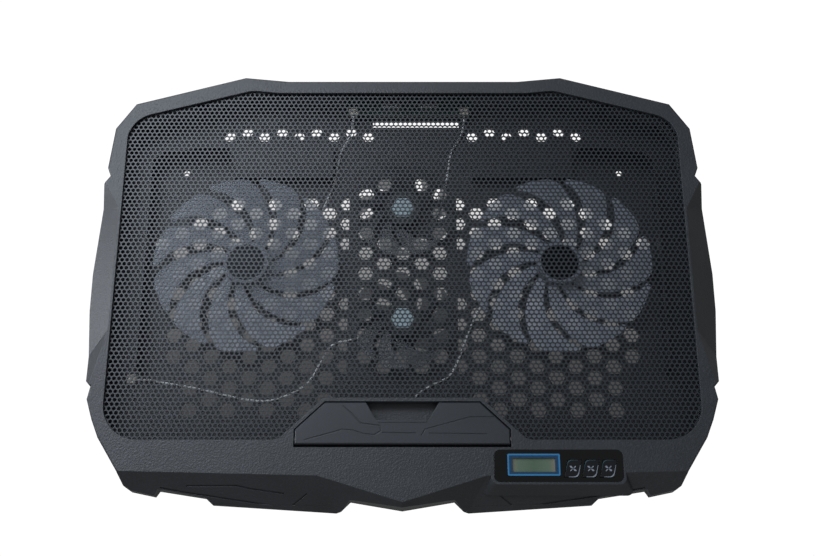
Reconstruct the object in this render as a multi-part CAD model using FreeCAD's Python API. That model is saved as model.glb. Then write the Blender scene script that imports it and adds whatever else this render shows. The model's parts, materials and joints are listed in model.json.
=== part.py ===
import FreeCAD, Part
import math
import os

# Laptop cooling pad.  Millimetres, +X to the user's right, +Y to the rear, +Z up.
# The origin is on the table, under the middle of the overall box.

# ---- driving dimensions ---------------------------------------------------
DECK_Z = 27.5          # top of the deck
PARTING_Z = 12.0       # seam between bottom shell and top frame
BELLY_Z = 2.5          # underside of the bottom shell, held up by the feet
WAIST_Z = 8.0          # where the undercut of the underside meets the wall
UNDERCUT = 4.5         # how far the underside steps in from the outline
WALL = 2.2             # side walls
FLOOR = 2.2            # floor of the bottom shell
DECK = 2.0             # deck plate
SEAM = 0.4             # depth of the shadow line at the parting plane
EDGE_BREAK = 0.9       # chamfer along the deck's outer edge
FLOOR_Z = BELLY_Z + FLOOR
MESH_Z = DECK_Z - DECK  # top of the perforated panel, under the deck plate
MESH_THICKNESS = 0.8
MESH_HALF_WIDTH = 189.3  # clears the inside of the flank walls
MESH_MARGIN = 1.2      # how far the panel reaches under the deck
REACH = 700.0          # size of the blocks that stand for half spaces

# Right half of the outline, from the rear round to the front centre.
OUTLINE_RIGHT = [
    (80, 147), (110, 150), (185, 129.3), (197.8, 110.3), (200.7, 80.4), (198.4, 74.5),
    (202.5, 68.7), (207.5, 8), (207.2, -18), (202.4, -68.4), (198.4, -72.8), (200, -81),
    (195.8, -94), (190.9, -105.6), (177.2, -127), (173.8, -134.6), (170.5, -136.8),
    (155.2, -140), (152.7, -136.4), (123.4, -141), (118.9, -145.1), (41.5, -150),
    (38.5, -149), (32.6, -143.2), (0, -148.7),
]
# Deck edge above the front slopes, and the point where the slopes meet.
FRONT_EDGE_OUTER = (177.2, -126.7)
FRONT_EDGE_INNER = (52.9, -129.6)
FRONT_EDGE_MIDDLE = (0, -146)
FRONT_CLAW = (40, -150.5, WAIST_Z)
# Scooped flanks: corners of the flat deck, and a low point of each facet.
FLANK_X = 190.5
FLANK_REAR = 50
FLANK_FRONT = -35
FLANK_LOW_Z = 14.0
FLANK_LOW = (207.3, 0)
FLANK_REAR_RIM = ((199.5, 67), (205.5, 52))      # a point on the deck and a low one
FLANK_FRONT_RIM = ((199, -70), (206.5, -50))
# Shallow decorative lines on the front slope, left side, in plan.
FRONT_LINES = [
    [(-134, -134.8), (-103, -134.8), (-93, -136.6), (-74.4, -139)],
    [(-150.5, -135.8), (-135, -138.3), (-83, -145.3), (-73.4, -146.4), (-69.5, -146), (-59.7, -139.4)],
]
FRONT_LINE_WIDTH = 0.8
FRONT_LINE_DEPTH = 0.5

# Mesh opening, right half: (x, y, corner radius), rear centre to front centre.
MESH_CORNERS_RIGHT = [
    (86, 137.7, 20), (104.8, 139.6, 20), (183, 118.7, 20), (189, 106, 12),
    (189, -107.1, 23), (78.2, -107.1, 9), (49.9, -80.2, 3),
]

# Stopper baffle, right half of its outline, and its hinge.
BAFFLE_RIGHT = [(49, -83.1), (67.5, -100.7), (67.5, -110)]
BAFFLE_THICKNESS = 2.8
BAFFLE_NOTCH_RIGHT = [(23, -82), (23, -83.6), (16.6, -94.6)]
BAFFLE_AXIS = (-106.2, 24.2)     # y and z of the hinge line
BAFFLE_GAP = 0.5
BAFFLE_PROUD = 0.3               # how far the closed baffle stands above the deck
BAFFLE_BREAK = 0.8               # bevel round its face
BAFFLE_SWING_ROOM = 1.4          # room in front of it for its front edge to swing
BAFFLE_BARREL_X = (52.0, 66.8)
BAFFLE_BARREL_R = 2.6
BAFFLE_WEB = 2.4                 # half width of the web between barrel and leaf
BAFFLE_BORE_X = (58.0, 70.0)
BAFFLE_PIN_X = (59.0, 69.6)
BAFFLE_SOCKET_X = (-73.0, 73.0)  # bore through both ends of the pocket
CRACK_WIDTH = 0.7
CRACK_DEPTH = 0.35
BAFFLE_CRACKS = [
    [(-37.3, -85.6), (-31.9, -90.5), (-26.1, -96.7), (-14, -98.3), (-13.5, -101.5), (-17.6, -104.2),
     (-24.4, -103.4), (-30.7, -101.3), (-37.5, -100.6), (-45.3, -102.9), (-60.8, -107.2)],
    [(12.1, -104.2), (14.2, -100.6), (27.8, -96.9), (42.5, -92.8), (57.3, -92.6)],
    [(-12, -102.7), (8, -103.1)], [(17, -103.2), (52.8, -103.6)],
]
POCKET_FLOOR_Z = 20.2
POCKET_SKIN = 1.8
TUB_FRONT = ((-72.0, 72.0), (-114.5, -108.0))    # thick front wall that holds the hinge pins
PIN_D = 2.5
RUN_FIT = 0.03                   # radial clearance of pins, shafts and screws
PUSH_FIT = 0.05                  # clearance all round of parts that are pushed in
BITE = 0.5                       # overlap of pieces that are fused

# Control panel.
PANEL_X = (56.8, 137.0)
PANEL_Y = (-133.6, -113.5)
PANEL_CORNER = 4.0
PANEL_THICKNESS = 1.6
PANEL_PAD = 4.5                  # depth of the block under the panel
PANEL_WELL = ((60.2, 134.4), (-131.8, -115.0))
SURROUND_RIM = 1.5               # how far the block reaches past the panel at the top
SURROUND_FOOT = 7.0              # and at its foot
SURROUND_HEIGHT = 9.0
SURROUND_CORNER = 5.0
DISPLAY_X = (65.1, 97.9)
DISPLAY_Y = (-129.9, -116.0)
WINDOW_X = (68.3, 94.8)
WINDOW_Y = (-127.4, -118.8)
BUTTON_NAMES = ["power", "fan_mode", "fan_speed"]
BUTTON_CENTRES_X = [105.7, 116.7, 127.7]
BUTTON_CENTRE_Y = -125.3
BUTTON_SIZE = (8.4, 10.6)
BUTTON_SLANT = 2.6
BUTTON_TRAVEL = 0.6
BUTTON_GAP = 0.3                 # between a button and the cover plate
BUTTON_Z = (24.2, DECK_Z + 0.35)
FLANGE = 0.8                     # flange that keeps a button in
FLANGE_TOP_Z = 25.1
DISPLAY_CORNER = 1.0
DISPLAY_Z = (25.0, DECK_Z + 0.4)
WINDOW_CORNER = 0.4
GLASS_Z = (25.2, 26.8)
MODULE = ((67.0, 96.0), (-128.6, -117.0), (21.0, 24.8))
MODULE_PIN_R = 0.4
MODULE_PIN_XS = range(70, 95, 4)
MODULE_PIN_YS = (-127.6, -118.0)
SWITCH_HALF = 3.0
SWITCH_CAN_Z = 22.4
SWITCH_PLUNGER_Z = 23.2
SWITCH_PLUNGER_R = 1.5
CONTROL_BOARD = ((61.0, 133.6), (-129.4, -115.6))
CONTROL_BOARD_Z = (18.4, 20.0)
CONTROL_POST_XS = (64.0, 130.5)
CONTROL_POST_YS = (-117.6, -127.6)
CONTROL_POST_R = 2.0

# Fans: (centre x, centre y, blade tip radius, hub radius, blades, turn of the blades in degrees).
FANS = {
    "left_fan": (-105, 15, 62.0, 15.0, 11, 15.0),
    "right_fan": (105, 15, 62.0, 15.0, 11, 15.0),
    "rear_fan": (0, 54.5, 34.0, 12.0, 9, 0.0),
    "front_fan": (0, -24.5, 34.0, 12.0, 9, 0.0),
}
FAN_TOP_Z = 18.4
FAN_HUB_Z = 8.3
FAN_BASE_Z = 6.2
BLADE_THICKNESS = 1.2
BLADE_SWEEP = 48.0               # degrees a blade leads forward from root to tip
BLADE_ROOT_BITE = 0.9            # how far a blade reaches into the hub wall
BLADE_GAP_SHARES = (0.12, 0.147, 0.08)   # pitch lost each side of a blade: root, middle, tip
CORNER_SHARE = 0.06              # corner round of a blade against the tip radius
BEND_SHARE = 2.6                 # bend radius of a blade against the tip radius
LARGE_FAN_TIP = 50.0             # fans with longer blades have an open hub
HUB_WALL = 1.6
HUB_LIP = 2.4                    # lip that holds the magnet cup in an open hub
SHAFT_D = 2.0
HUB_ROOF = 1.0                   # thickness of the hub's top
CUP_WALL = 2.0                   # magnet ring with its cup
CUP_ROOF = 0.8
BLADE_Z = (FAN_BASE_Z + 1.7, FAN_TOP_Z - 1.2)
BLADE_REACH = (-0.25, 0.71)      # where the curved sheet starts and ends against the tip radius
MOTOR_RIM = 0.6                  # motor plate past the hub
BEARING_R = 2.8
STATOR_R = 4.6
STATOR_Z = (FAN_BASE_Z + 1.6, FAN_TOP_Z - 5.4)
STATOR_TEETH = 4
TOOTH_HALF = 1.6
TOOTH_HEAD = (6.2, 4.6, 3.4)     # inner and outer side from the hub's rim, half width
BADGE_FLATS = (13.6, 12.4)       # at its foot and on its face
BADGE_HEIGHT = 1.2
BADGE_BREAK = 0.5

# Honeycomb of the floor.
HEX_PITCH = 14.62
HEX_FLATS = 9.5
HEX_COLUMN = HEX_PITCH * math.cos(math.radians(30))
HEX_FIRST_Y = 12.3
HEX_FIELD_RIGHT = [
    (0, -56), (44, -56), (50, -88), (144, -88), (152, -52), (157, -44), (157, 20),
    (169, 27), (169, 42), (157, 48), (145, 56), (120, 68), (34, 68), (30, 84), (0, 84),
]
HUB_LAND = 5.5           # plain floor round each hub
USB_LAND_X = (-20.0, 32.0)  # plain floor under the rear board
USB_LAND_Y = 95.0
HALF_COLUMN = 3          # column whose holes are cut off on the inner side
HALF_COLUMN_X = 37.0
HALF_COLUMN_GAP = (0, 25)
REAR_HEX_FLATS = 7.6     # smaller holes of the zigzag row behind the legs
REAR_HEX_STEP = 12.25
REAR_HEX_Y = (115.4, 118.8)
CORNER_HEX_FLATS = 4.5
CORNER_HEXES = [(129.5, 104.6), (151.5, 87.0)]
REAR_SLOT = (-21.4, 39.7, 122.6, 128.2)

# Rear legs and their pockets (right one; the left one is mirrored).
LEG_X = (51.0, 115.0)
LEG_AXIS = (86.0, 6.6)           # y and z of the pivot
LEG_ROOT_R = 3.2
LEG_TIP_Y = 102.6
LEG_Z = (3.2, 7.6)
LEG_PAD = 2.2
LEG_WINDOW = (12.0, 5.5, 4.5)    # from the sides, from the pivot and from the tip
LEG_PIN_REACH = 1.3              # pins past the pocket's ends
POCKET_X = (50.0, 116.0)
POCKET_Y = (81.5, 105.6)
POCKET_ROOF_Z = 10.6
POCKET_WALL = 1.7
FINGER_X = (74.0, 92.0)
FINGER_Y = 110.4
FINGER_DROP = 2.0                # roof of the finger recess below the pocket's roof

FENCE_TOP_Z = 19.0
CROSS_RIB_TOP_Z = 7.2
FENCE_RIGHT = [(173, -58), (173, 90), (167, 96.5), (135, 100.5), (122, 100.5)]
CROSS_RIB_RIGHT = [(173, 6), (168, 11), (133, 11)]
RIB_THICKNESS = 1.6

FOOT_R = 7.0
FOOT_BREAK = 0.8
FEET = [(170, 104), (-170, 104), (171, -99), (-171, -99)]
CASE_SCREWS = [(141.9, 135.3), (-141.9, 135.3), (160, -118), (-160, -118), (24, -126), (-24, -126)]
SCREW_SHANK_R = 1.2
CASE_SCREW_TIP_Z = 20.0
CASE_SCREW_HEAD = (2.5, 1.8)     # radius and height
CASE_SCREW_CROSS = (1.4, 0.3, 0.7)   # half length, half width and depth of the cross recess
COLUMN_R = 2.7
BOSS_R = 3.6
COUNTERBORE_R = 2.9
FAN_SCREW_R = 0.8
FAN_SCREW_HEAD = (1.5, 1.1)
FAN_SCREW_INSET = 2.4            # from the hub's rim

# USB sockets at the rear.
USB_X = (-8.0, 18.0)
USB_SIZE = (13.1, 14.0, 5.7)
USB_BOARD = (-40.0, 48.0, 129.0, 143.4)
USB_BOARD_Z = (8.4, 10.0)
USB_GAP = 0.25                   # round the sockets in the rear wall
USB_WALL_CUT_Y = (143.0, 149.0)
USB_SETBACK = 0.4                # socket mouths behind the rear face
USB_SHELL = 0.4                  # sheet thickness
USB_CLOSED_END = 1.5
USB_TONGUE_HALF = 5.5
USB_TONGUE = 1.8
USB_TONGUE_DROP = 0.8
USB_TONGUE_SETBACK = 2.5
USB_POST_R = 2.2
USB_POST_INSETS = (3.0, 4.0)     # from the board's edges; more at its rear edge
REAR_WALL_Y = 147.0

LEAD_D = 1.4
LEAD_Z = FLOOR_Z + LEAD_D / 2 + 0.1
BEND_CUT = 0.45                  # share of the shorter run that a bend takes
LEADS = {
    "left_fan_lead": [
        (-92, 24.5, LEAD_Z), (-78, 28.8, LEAD_Z), (-66, 31, LEAD_Z), (-59, 46, LEAD_Z),
        (-53, 65, LEAD_Z), (-47, 79, LEAD_Z), (-45.5, 94, LEAD_Z), (-43, 105, LEAD_Z), (-38, 113.5, LEAD_Z),
        (-36, 118.5, 8.2),
        (-35, 123.8, 12.0), (-35, 127.95, 12.0),
    ],
    "rear_fan_lead": [
        (10.8, 45.5, LEAD_Z), (18, 47, LEAD_Z), (25, 54, LEAD_Z), (28, 68, LEAD_Z), (31.5, 87, LEAD_Z),
        (33.5, 103, LEAD_Z), (39.5, 112, LEAD_Z), (42, 118, 8.2), (43, 123.8, 12.0), (43, 127.95, 12.0),
    ],
    "right_fan_lead": [
        (91.5, 6.5, LEAD_Z), (75, -1, LEAD_Z), (56, -5, LEAD_Z), (46, -24, LEAD_Z),
        (37, -49, LEAD_Z), (31, -61, LEAD_Z), (17, -67, LEAD_Z), (5, -76, LEAD_Z), (12, -90, LEAD_Z),
        (30, -99, LEAD_Z), (50, -100, LEAD_Z), (68, -101, 9.0), (76, -107.5, 14.0), (76, -113.35, 14.0),
    ],
    "front_fan_lead": [
        (-11.5, -30, LEAD_Z), (-30, -34.5, LEAD_Z), (-48, -38, LEAD_Z), (-54.5, -52, LEAD_Z),
        (-62, -66, LEAD_Z), (-76, -74, LEAD_Z), (-90, -77.5, LEAD_Z), (-106, -75.5, LEAD_Z),
        (-136, -68, LEAD_Z), (-158, -64.5, LEAD_Z), (-166, -62.7, LEAD_Z), (-174.45, -62.7, LEAD_Z),
    ],
}
LEAD_PLUGS = [
    ((-38.0, -32.0), (128.0, 134.0), (10.0, 14.0)), ((40.0, 46.0), (128.0, 134.0), (10.0, 14.0)),
    ((73.0, 79.0), (-119.6, -113.4), (12.0, 18.4)), ((-180.0, -174.5), (-65.6, -59.8), (FLOOR_Z, 8.2)),
]


# ---- helpers --------------------------------------------------------------
def V(x, y, z=0.0):
    """A FreeCAD vector."""
    return FreeCAD.Vector(x, y, z)


def mirrored(points):
    """The same outline points on the left side, in reverse order."""
    return [(-x,) + tuple(rest) for x, *rest in reversed(points)]


def whole(right_half):
    """A closed outline from its right half, keeping a point on the axis once."""
    left = [point for point in mirrored(right_half) if point[0] != 0]
    return list(right_half) + left


def inset(points, distance):
    """Move every edge of a clockwise polygon inwards, with mitred corners."""
    moved = []
    count = len(points)
    for i in range(count):
        before = V(*points[i - 1])
        here = V(*points[i])
        after = V(*points[(i + 1) % count])
        first = (here - before).normalize()
        second = (after - here).normalize()
        normal_first = V(first.y, -first.x)
        normal_second = V(second.y, -second.x)
        bisector = normal_first + normal_second
        scale = distance / (1.0 + normal_first.dot(normal_second))
        moved.append((here.x + bisector.x * scale, here.y + bisector.y * scale))
    return moved


def closed_wire(points):
    """Polygon wire through vectors."""
    return Part.makePolygon(list(points) + [points[0]])


def plate(points, z_low, z_high):
    """Straight prism on a polygon."""
    face = Part.Face(closed_wire([V(x, y, z_low) for x, y in points]))
    return face.extrude(V(0, 0, z_high - z_low))


def rounded_wire(corners, z):
    """Wire through (x, y, radius) corners, each rounded by a tangent arc."""
    edges = []
    count = len(corners)
    ends = []
    for i in range(count):
        here = V(corners[i][0], corners[i][1], z)
        before = V(corners[i - 1][0], corners[i - 1][1], z)
        after = V(corners[(i + 1) % count][0], corners[(i + 1) % count][1], z)
        to_before = (before - here).normalize()
        to_after = (after - here).normalize()
        half = to_before.getAngle(to_after) / 2
        radius = corners[i][2]
        leg = radius / math.tan(half)
        start = here + to_before * leg
        stop = here + to_after * leg
        bisector = (to_before + to_after).normalize()
        middle = here + bisector * (radius / math.sin(half) - radius)
        ends.append((start, stop))
        edges.append(Part.Arc(start, middle, stop).toShape())
    straight = []
    for i in range(count):
        start = ends[i][1]
        stop = ends[(i + 1) % count][0]
        straight.append(Part.LineSegment(start, stop).toShape())
    ordered = [edge for pair in zip(edges, straight) for edge in pair]
    return Part.Wire(ordered)


def rounded_plate(corners, z_low, z_high):
    """Prism on a rounded outline."""
    return Part.Face(rounded_wire(corners, z_low)).extrude(V(0, 0, z_high - z_low))


def rectangle(x_range, y_range, radius, grow=0.0):
    """Rounded rectangle as (x, y, radius) corners, clockwise."""
    x_low, x_high = x_range[0] - grow, x_range[1] + grow
    y_low, y_high = y_range[0] - grow, y_range[1] + grow
    return [(x_high, y_high, radius), (x_high, y_low, radius), (x_low, y_low, radius), (x_low, y_high, radius)]


def box(x_range, y_range, z_range):
    """Axis-aligned box from its ranges."""
    size = [high - low for low, high in (x_range, y_range, z_range)]
    return Part.makeBox(size[0], size[1], size[2], V(x_range[0], y_range[0], z_range[0]))


def post(x, y, z_low, z_high, radius):
    """Upright cylinder."""
    return Part.makeCylinder(radius, z_high - z_low, V(x, y, z_low))


def rod(y, z, x_low, x_high, radius):
    """Cylinder along X."""
    return Part.makeCylinder(radius, x_high - x_low, V(x_low, y, z), V(1, 0, 0))


def stack(levels):
    """Solid through polygons of one corner count, given as (points, z)."""
    rings = [[V(x, y, z) for x, y in points] for points, z in levels]
    faces = [Part.Face(closed_wire(rings[0])), Part.Face(closed_wire(rings[-1]))]
    for low, high in zip(rings, rings[1:]):
        for i in range(len(low)):
            j = (i + 1) % len(low)
            faces.append(Part.Face(closed_wire([low[i], low[j], high[j], high[i]])))
    shell = Part.Shell(faces)
    shell.sewShape()
    return Part.Solid(shell)


def above(first, second, third, sink):
    """Block that fills the upper side of a plane through three points, sunk by a distance."""
    normal = (second - first).cross(third - first).normalize()
    if normal.z < 0:
        normal = normal * -1
    block = Part.makeBox(REACH, REACH, REACH, V(-REACH / 2, -REACH / 2, 0))
    block.Placement = FreeCAD.Placement(first - normal * sink, FreeCAD.Rotation(V(0, 0, 1), normal))
    return block


def mirror(shape):
    """The same shape on the other side of the pad."""
    return shape.mirror(V(0, 0, 0), V(1, 0, 0))


def fuse_all(shapes):
    """Fuse a list of shapes into one and merge coplanar faces."""
    return shapes[0].multiFuse(shapes[1:]).removeSplitter()


def save(name, shape):
    """Write one node, after checking it."""
    if not shape.isValid():
        shape.fix(0.001, 0.001, 0.001)
    print(name, "valid", shape.isValid(), "solids", len(shape.Solids), "volume", round(shape.Volume, 1))
    if len(shape.Solids) == 1:
        shape = shape.Solids[0]
    shape.exportStep("parts/" + name + ".step")


# ---- outer body -----------------------------------------------------------
def flank_cut(sink):
    """What is scooped off the right flank, between its two notches."""
    rear = V(FLANK_X, FLANK_REAR, DECK_Z)
    front = V(FLANK_X, FLANK_FRONT, DECK_Z)
    cut = above(rear, front, V(*FLANK_LOW, FLANK_LOW_Z), sink)
    for corner, (high, low) in ((rear, FLANK_REAR_RIM), (front, FLANK_FRONT_RIM)):
        cut = cut.common(above(corner, V(*high, DECK_Z), V(*low, FLANK_LOW_Z), sink))
    return cut


def front_cut(sink):
    """What is cut off in front of the right half of the deck."""
    inner = V(*FRONT_EDGE_INNER, DECK_Z)
    claw = V(*FRONT_CLAW)
    outer_slope = above(V(*FRONT_EDGE_OUTER, DECK_Z), inner, claw, sink)
    inner_slope = above(inner, V(*FRONT_EDGE_MIDDLE, DECK_Z), claw, sink)
    right_half = box((0, REACH), (-REACH, 0), (-REACH, REACH))
    return outer_slope.common(inner_slope).common(right_half)


def body(thinner):
    """The whole pad's outer form, or its cavity when thinner is the wall thickness."""
    outline = whole(OUTLINE_RIGHT)
    full = inset(outline, thinner)
    if thinner == 0:
        levels = [
            (inset(outline, UNDERCUT), BELLY_Z), (full, WAIST_Z), (full, PARTING_Z - SEAM),
            (inset(outline, SEAM), PARTING_Z), (full, PARTING_Z + SEAM),
            (full, DECK_Z - EDGE_BREAK), (inset(outline, EDGE_BREAK), DECK_Z),
        ]
    else:
        top = DECK_Z - DECK * thinner / WALL
        levels = [(inset(outline, UNDERCUT + thinner), FLOOR_Z), (full, WAIST_Z + 1), (full, top)]
    solid = stack(levels)
    for cut in (flank_cut(thinner), front_cut(thinner)):
        solid = solid.cut(cut).cut(mirror(cut))
    return solid


def panel_surround():
    """Raised block that carries the control panel out over the front slope."""
    top = [(x, y) for x, y, _ in rectangle(PANEL_X, PANEL_Y, 0, SURROUND_RIM)]
    bottom = [(x, y) for x, y, _ in rectangle(PANEL_X, PANEL_Y, 0, SURROUND_FOOT)]
    block = stack([(bottom, DECK_Z - SURROUND_HEIGHT), (top, DECK_Z)])
    corner_edges = [edge for edge in block.Edges if abs(edge.Vertexes[0].Z - edge.Vertexes[1].Z) > 1]
    return block.makeFillet(SURROUND_CORNER, corner_edges)


def engraving(points, width, depth_body):
    """Thin upright slots along a polyline, reaching down to the given body."""
    slots = []
    for start, stop in zip(points, points[1:]):
        first = V(*start)
        along = (V(*stop) - first)
        length = along.Length
        slot = Part.makeBox(length + width, width, DECK_Z, V(-width / 2, -width / 2, 0))
        angle = math.degrees(math.atan2(along.y, along.x))
        slot.Placement = FreeCAD.Placement(V(first.x, first.y, WAIST_Z), FreeCAD.Rotation(V(0, 0, 1), angle))
        slots.append(slot.cut(depth_body))
    return slots


# ---- top frame ------------------------------------------------------------
def baffle_outline(grow):
    """Outline of the baffle, grown on every side."""
    return inset(whole(BAFFLE_RIGHT), -grow)


def baffle_pocket():
    """Space that the baffle lies in, with room for its front edge to swing."""
    outline = baffle_outline(BAFFLE_GAP)
    front = [(x, y - BAFFLE_SWING_ROOM if y < BAFFLE_AXIS[0] else y) for x, y in outline]
    return plate(front, POCKET_FLOOR_Z, DECK_Z + 1)


def top_frame(outer, cavity):
    """Deck with its mesh opening, flanks, front slopes and the baffle's pocket."""
    above_seam = box((-REACH, REACH), (-REACH, REACH), (PARTING_Z, REACH))
    frame = outer.cut(cavity).common(above_seam)
    tub = plate(inset(baffle_outline(BAFFLE_GAP), -POCKET_SKIN), POCKET_FLOOR_Z - POCKET_SKIN, MESH_Z + BITE)
    tub_front = box(*TUB_FRONT, (POCKET_FLOOR_Z - POCKET_SKIN, MESH_Z + BITE))
    pad_corners = rectangle(PANEL_X, PANEL_Y, PANEL_CORNER, SURROUND_RIM)
    panel_pad = rounded_plate(pad_corners, DECK_Z - PANEL_PAD, DECK_Z)
    columns = [post(x, y, PARTING_Z, MESH_Z + BITE, COLUMN_R) for x, y in CASE_SCREWS]
    below_skin = body(FRONT_LINE_DEPTH)
    for line in FRONT_LINES:
        for points in (line, mirrored(line)):
            for slot in engraving(points, FRONT_LINE_WIDTH, below_skin):
                frame = frame.cut(slot)
    frame = fuse_all([frame, tub, tub_front, panel_surround(), panel_pad] + columns)
    opening = rounded_plate(whole(MESH_CORNERS_RIGHT), PARTING_Z, DECK_Z + 1)
    frame = frame.cut(opening).cut(baffle_pocket())
    seat = rectangle(PANEL_X, PANEL_Y, PANEL_CORNER, PUSH_FIT)
    recess = rounded_plate(seat, DECK_Z - PANEL_THICKNESS, DECK_Z + 1)
    well = box(*PANEL_WELL, (PARTING_Z + 1, DECK_Z))
    frame = frame.cut(recess).cut(well)
    tools = [rod(*BAFFLE_AXIS, *BAFFLE_SOCKET_X, PIN_D / 2 + RUN_FIT)]
    for x, y in CASE_SCREWS:
        tools.append(post(x, y, PARTING_Z - 1, CASE_SCREW_TIP_Z + 0.2, SCREW_SHANK_R + RUN_FIT))
    return frame.cut(tools + usb_openings())


def usb_openings():
    """Rectangular cuts through the rear wall for the sockets."""
    width, _, height = USB_SIZE
    half = width / 2 + USB_GAP
    z_range = (USB_BOARD_Z[1] - USB_GAP, USB_BOARD_Z[1] + height + USB_GAP)
    return [box((x - half, x + half), USB_WALL_CUT_Y, z_range) for x in USB_X]


# ---- mesh panel -----------------------------------------------------------
def mesh_panel():
    """Perforated steel panel as its plain blank, held under the deck."""
    opening = Part.Face(rounded_wire(whole(MESH_CORNERS_RIGHT), MESH_Z - MESH_THICKNESS))
    blank = opening.makeOffset2D(MESH_MARGIN).extrude(V(0, 0, MESH_THICKNESS))
    tub = plate(inset(baffle_outline(BAFFLE_GAP), -POCKET_SKIN - 0.1), 0, DECK_Z)
    between_flanks = box((-MESH_HALF_WIDTH, MESH_HALF_WIDTH), (-REACH, REACH), (0, DECK_Z))
    return blank.cut(tub).common(between_flanks)


# ---- bottom shell ---------------------------------------------------------
def inside(x, y, polygon):
    """True when a point lies inside a polygon."""
    found = False
    for (x1, y1), (x2, y2) in zip(polygon, polygon[1:] + polygon[:1]):
        if (y1 > y) != (y2 > y) and x < x1 + (y - y1) * (x2 - x1) / (y2 - y1):
            found = not found
    return found


def hex_is_free(x, y):
    """True when a honeycomb hole at this place clears pockets, fan seats and the rear board."""
    for centre_x, centre_y, _, hub, _, _ in FANS.values():
        if math.hypot(x - centre_x, y - centre_y) < hub + HUB_LAND:
            return False
    room = HEX_FLATS / 2 + POCKET_WALL
    in_pocket_x = POCKET_X[0] - room < abs(x) < POCKET_X[1] + room
    if in_pocket_x and POCKET_Y[0] - room < y < POCKET_Y[1] + room - 1.0:
        return False
    return not (USB_LAND_X[0] < x < USB_LAND_X[1] and y > USB_LAND_Y)


def hex_centres():
    """Centres of the honeycomb holes of the floor."""
    field = whole(HEX_FIELD_RIGHT)
    centres = []
    for column in range(-14, 15):
        x = column * HEX_COLUMN
        shift = HEX_PITCH / 2 if column % 2 else 0.0
        for row in range(-8, 9):
            y = HEX_FIRST_Y + shift + row * HEX_PITCH
            missing = abs(column) == HALF_COLUMN and HALF_COLUMN_GAP[0] < y < HALF_COLUMN_GAP[1]
            if inside(x, y, field) and hex_is_free(x, y) and not missing:
                centres.append((x, y))
    return centres


def rear_hexagons():
    """Outlines of the zigzag row behind the legs and of the small holes at the corners."""
    outlines = []
    for step in range(2, 11):
        x = step * REAR_HEX_STEP
        y = REAR_HEX_Y[step % 2]
        outlines.append(hexagon(-x, y, REAR_HEX_FLATS))
        if x > REAR_SLOT[1] + HEX_FLATS / 2:
            outlines.append(hexagon(x, y, REAR_HEX_FLATS))
    for x, y in CORNER_HEXES:
        outlines += [hexagon(x, y, CORNER_HEX_FLATS), hexagon(-x, y, CORNER_HEX_FLATS)]
    return outlines


def hexagon(x, y, flats):
    """Corners of a hexagon with flat sides to front and rear."""
    radius = flats / 2 / math.cos(math.radians(30))
    angles = [math.radians(60 * i) for i in range(6)]
    return [(x + radius * math.cos(a), y + radius * math.sin(a)) for a in angles]


def rib(start, stop, z_high):
    """Upright rib between two floor points."""
    first = V(*start)
    along = V(*stop) - first
    thick = RIB_THICKNESS
    wall = Part.makeBox(along.Length + thick, thick, z_high - BELLY_Z - 1, V(-thick / 2, -thick / 2, 0))
    angle = math.degrees(math.atan2(along.y, along.x))
    wall.Placement = FreeCAD.Placement(V(first.x, first.y, BELLY_Z + 1), FreeCAD.Rotation(V(0, 0, 1), angle))
    return wall


def ribs():
    """Tall ribs that fence the fans, and low ribs that pass under them, on both sides."""
    walls = []
    for line, z_high in ((FENCE_RIGHT, FENCE_TOP_Z), (CROSS_RIB_RIGHT, CROSS_RIB_TOP_Z)):
        for points in (line, mirrored(line)):
            walls += [rib(a, b, z_high) for a, b in zip(points, points[1:])]
    return walls


def leg_pocket(grow):
    """Space for a folded leg and the fingertip that pulls it out, grown by a wall."""
    z_low = BELLY_Z if grow else BELLY_Z - 1
    z_high = POCKET_ROOF_Z + grow
    main = box((POCKET_X[0] - grow, POCKET_X[1] + grow), (POCKET_Y[0] - grow, POCKET_Y[1] + grow),
               (z_low, z_high))
    finger = box((FINGER_X[0] - grow, FINGER_X[1] + grow), (POCKET_Y[1] - 1, FINGER_Y + grow),
                 (z_low, z_high - FINGER_DROP))
    return main.fuse(finger)


def control_posts():
    """Posts that carry the control board."""
    places = [(x, y) for y in CONTROL_POST_YS for x in CONTROL_POST_XS]
    return [post(x, y, BELLY_Z + 1, CONTROL_BOARD_Z[0], CONTROL_POST_R) for x, y in places]


def usb_posts():
    """Posts that carry the USB board."""
    x_low, x_high, y_low, y_high = USB_BOARD
    inset_front, inset_rear = USB_POST_INSETS
    ys = (y_low + inset_front, y_high - inset_rear)
    places = [(x, y) for x in (x_low + inset_front, x_high - inset_front) for y in ys]
    return [post(x, y, BELLY_Z + 1, USB_BOARD_Z[0], USB_POST_R) for x, y in places]


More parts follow.
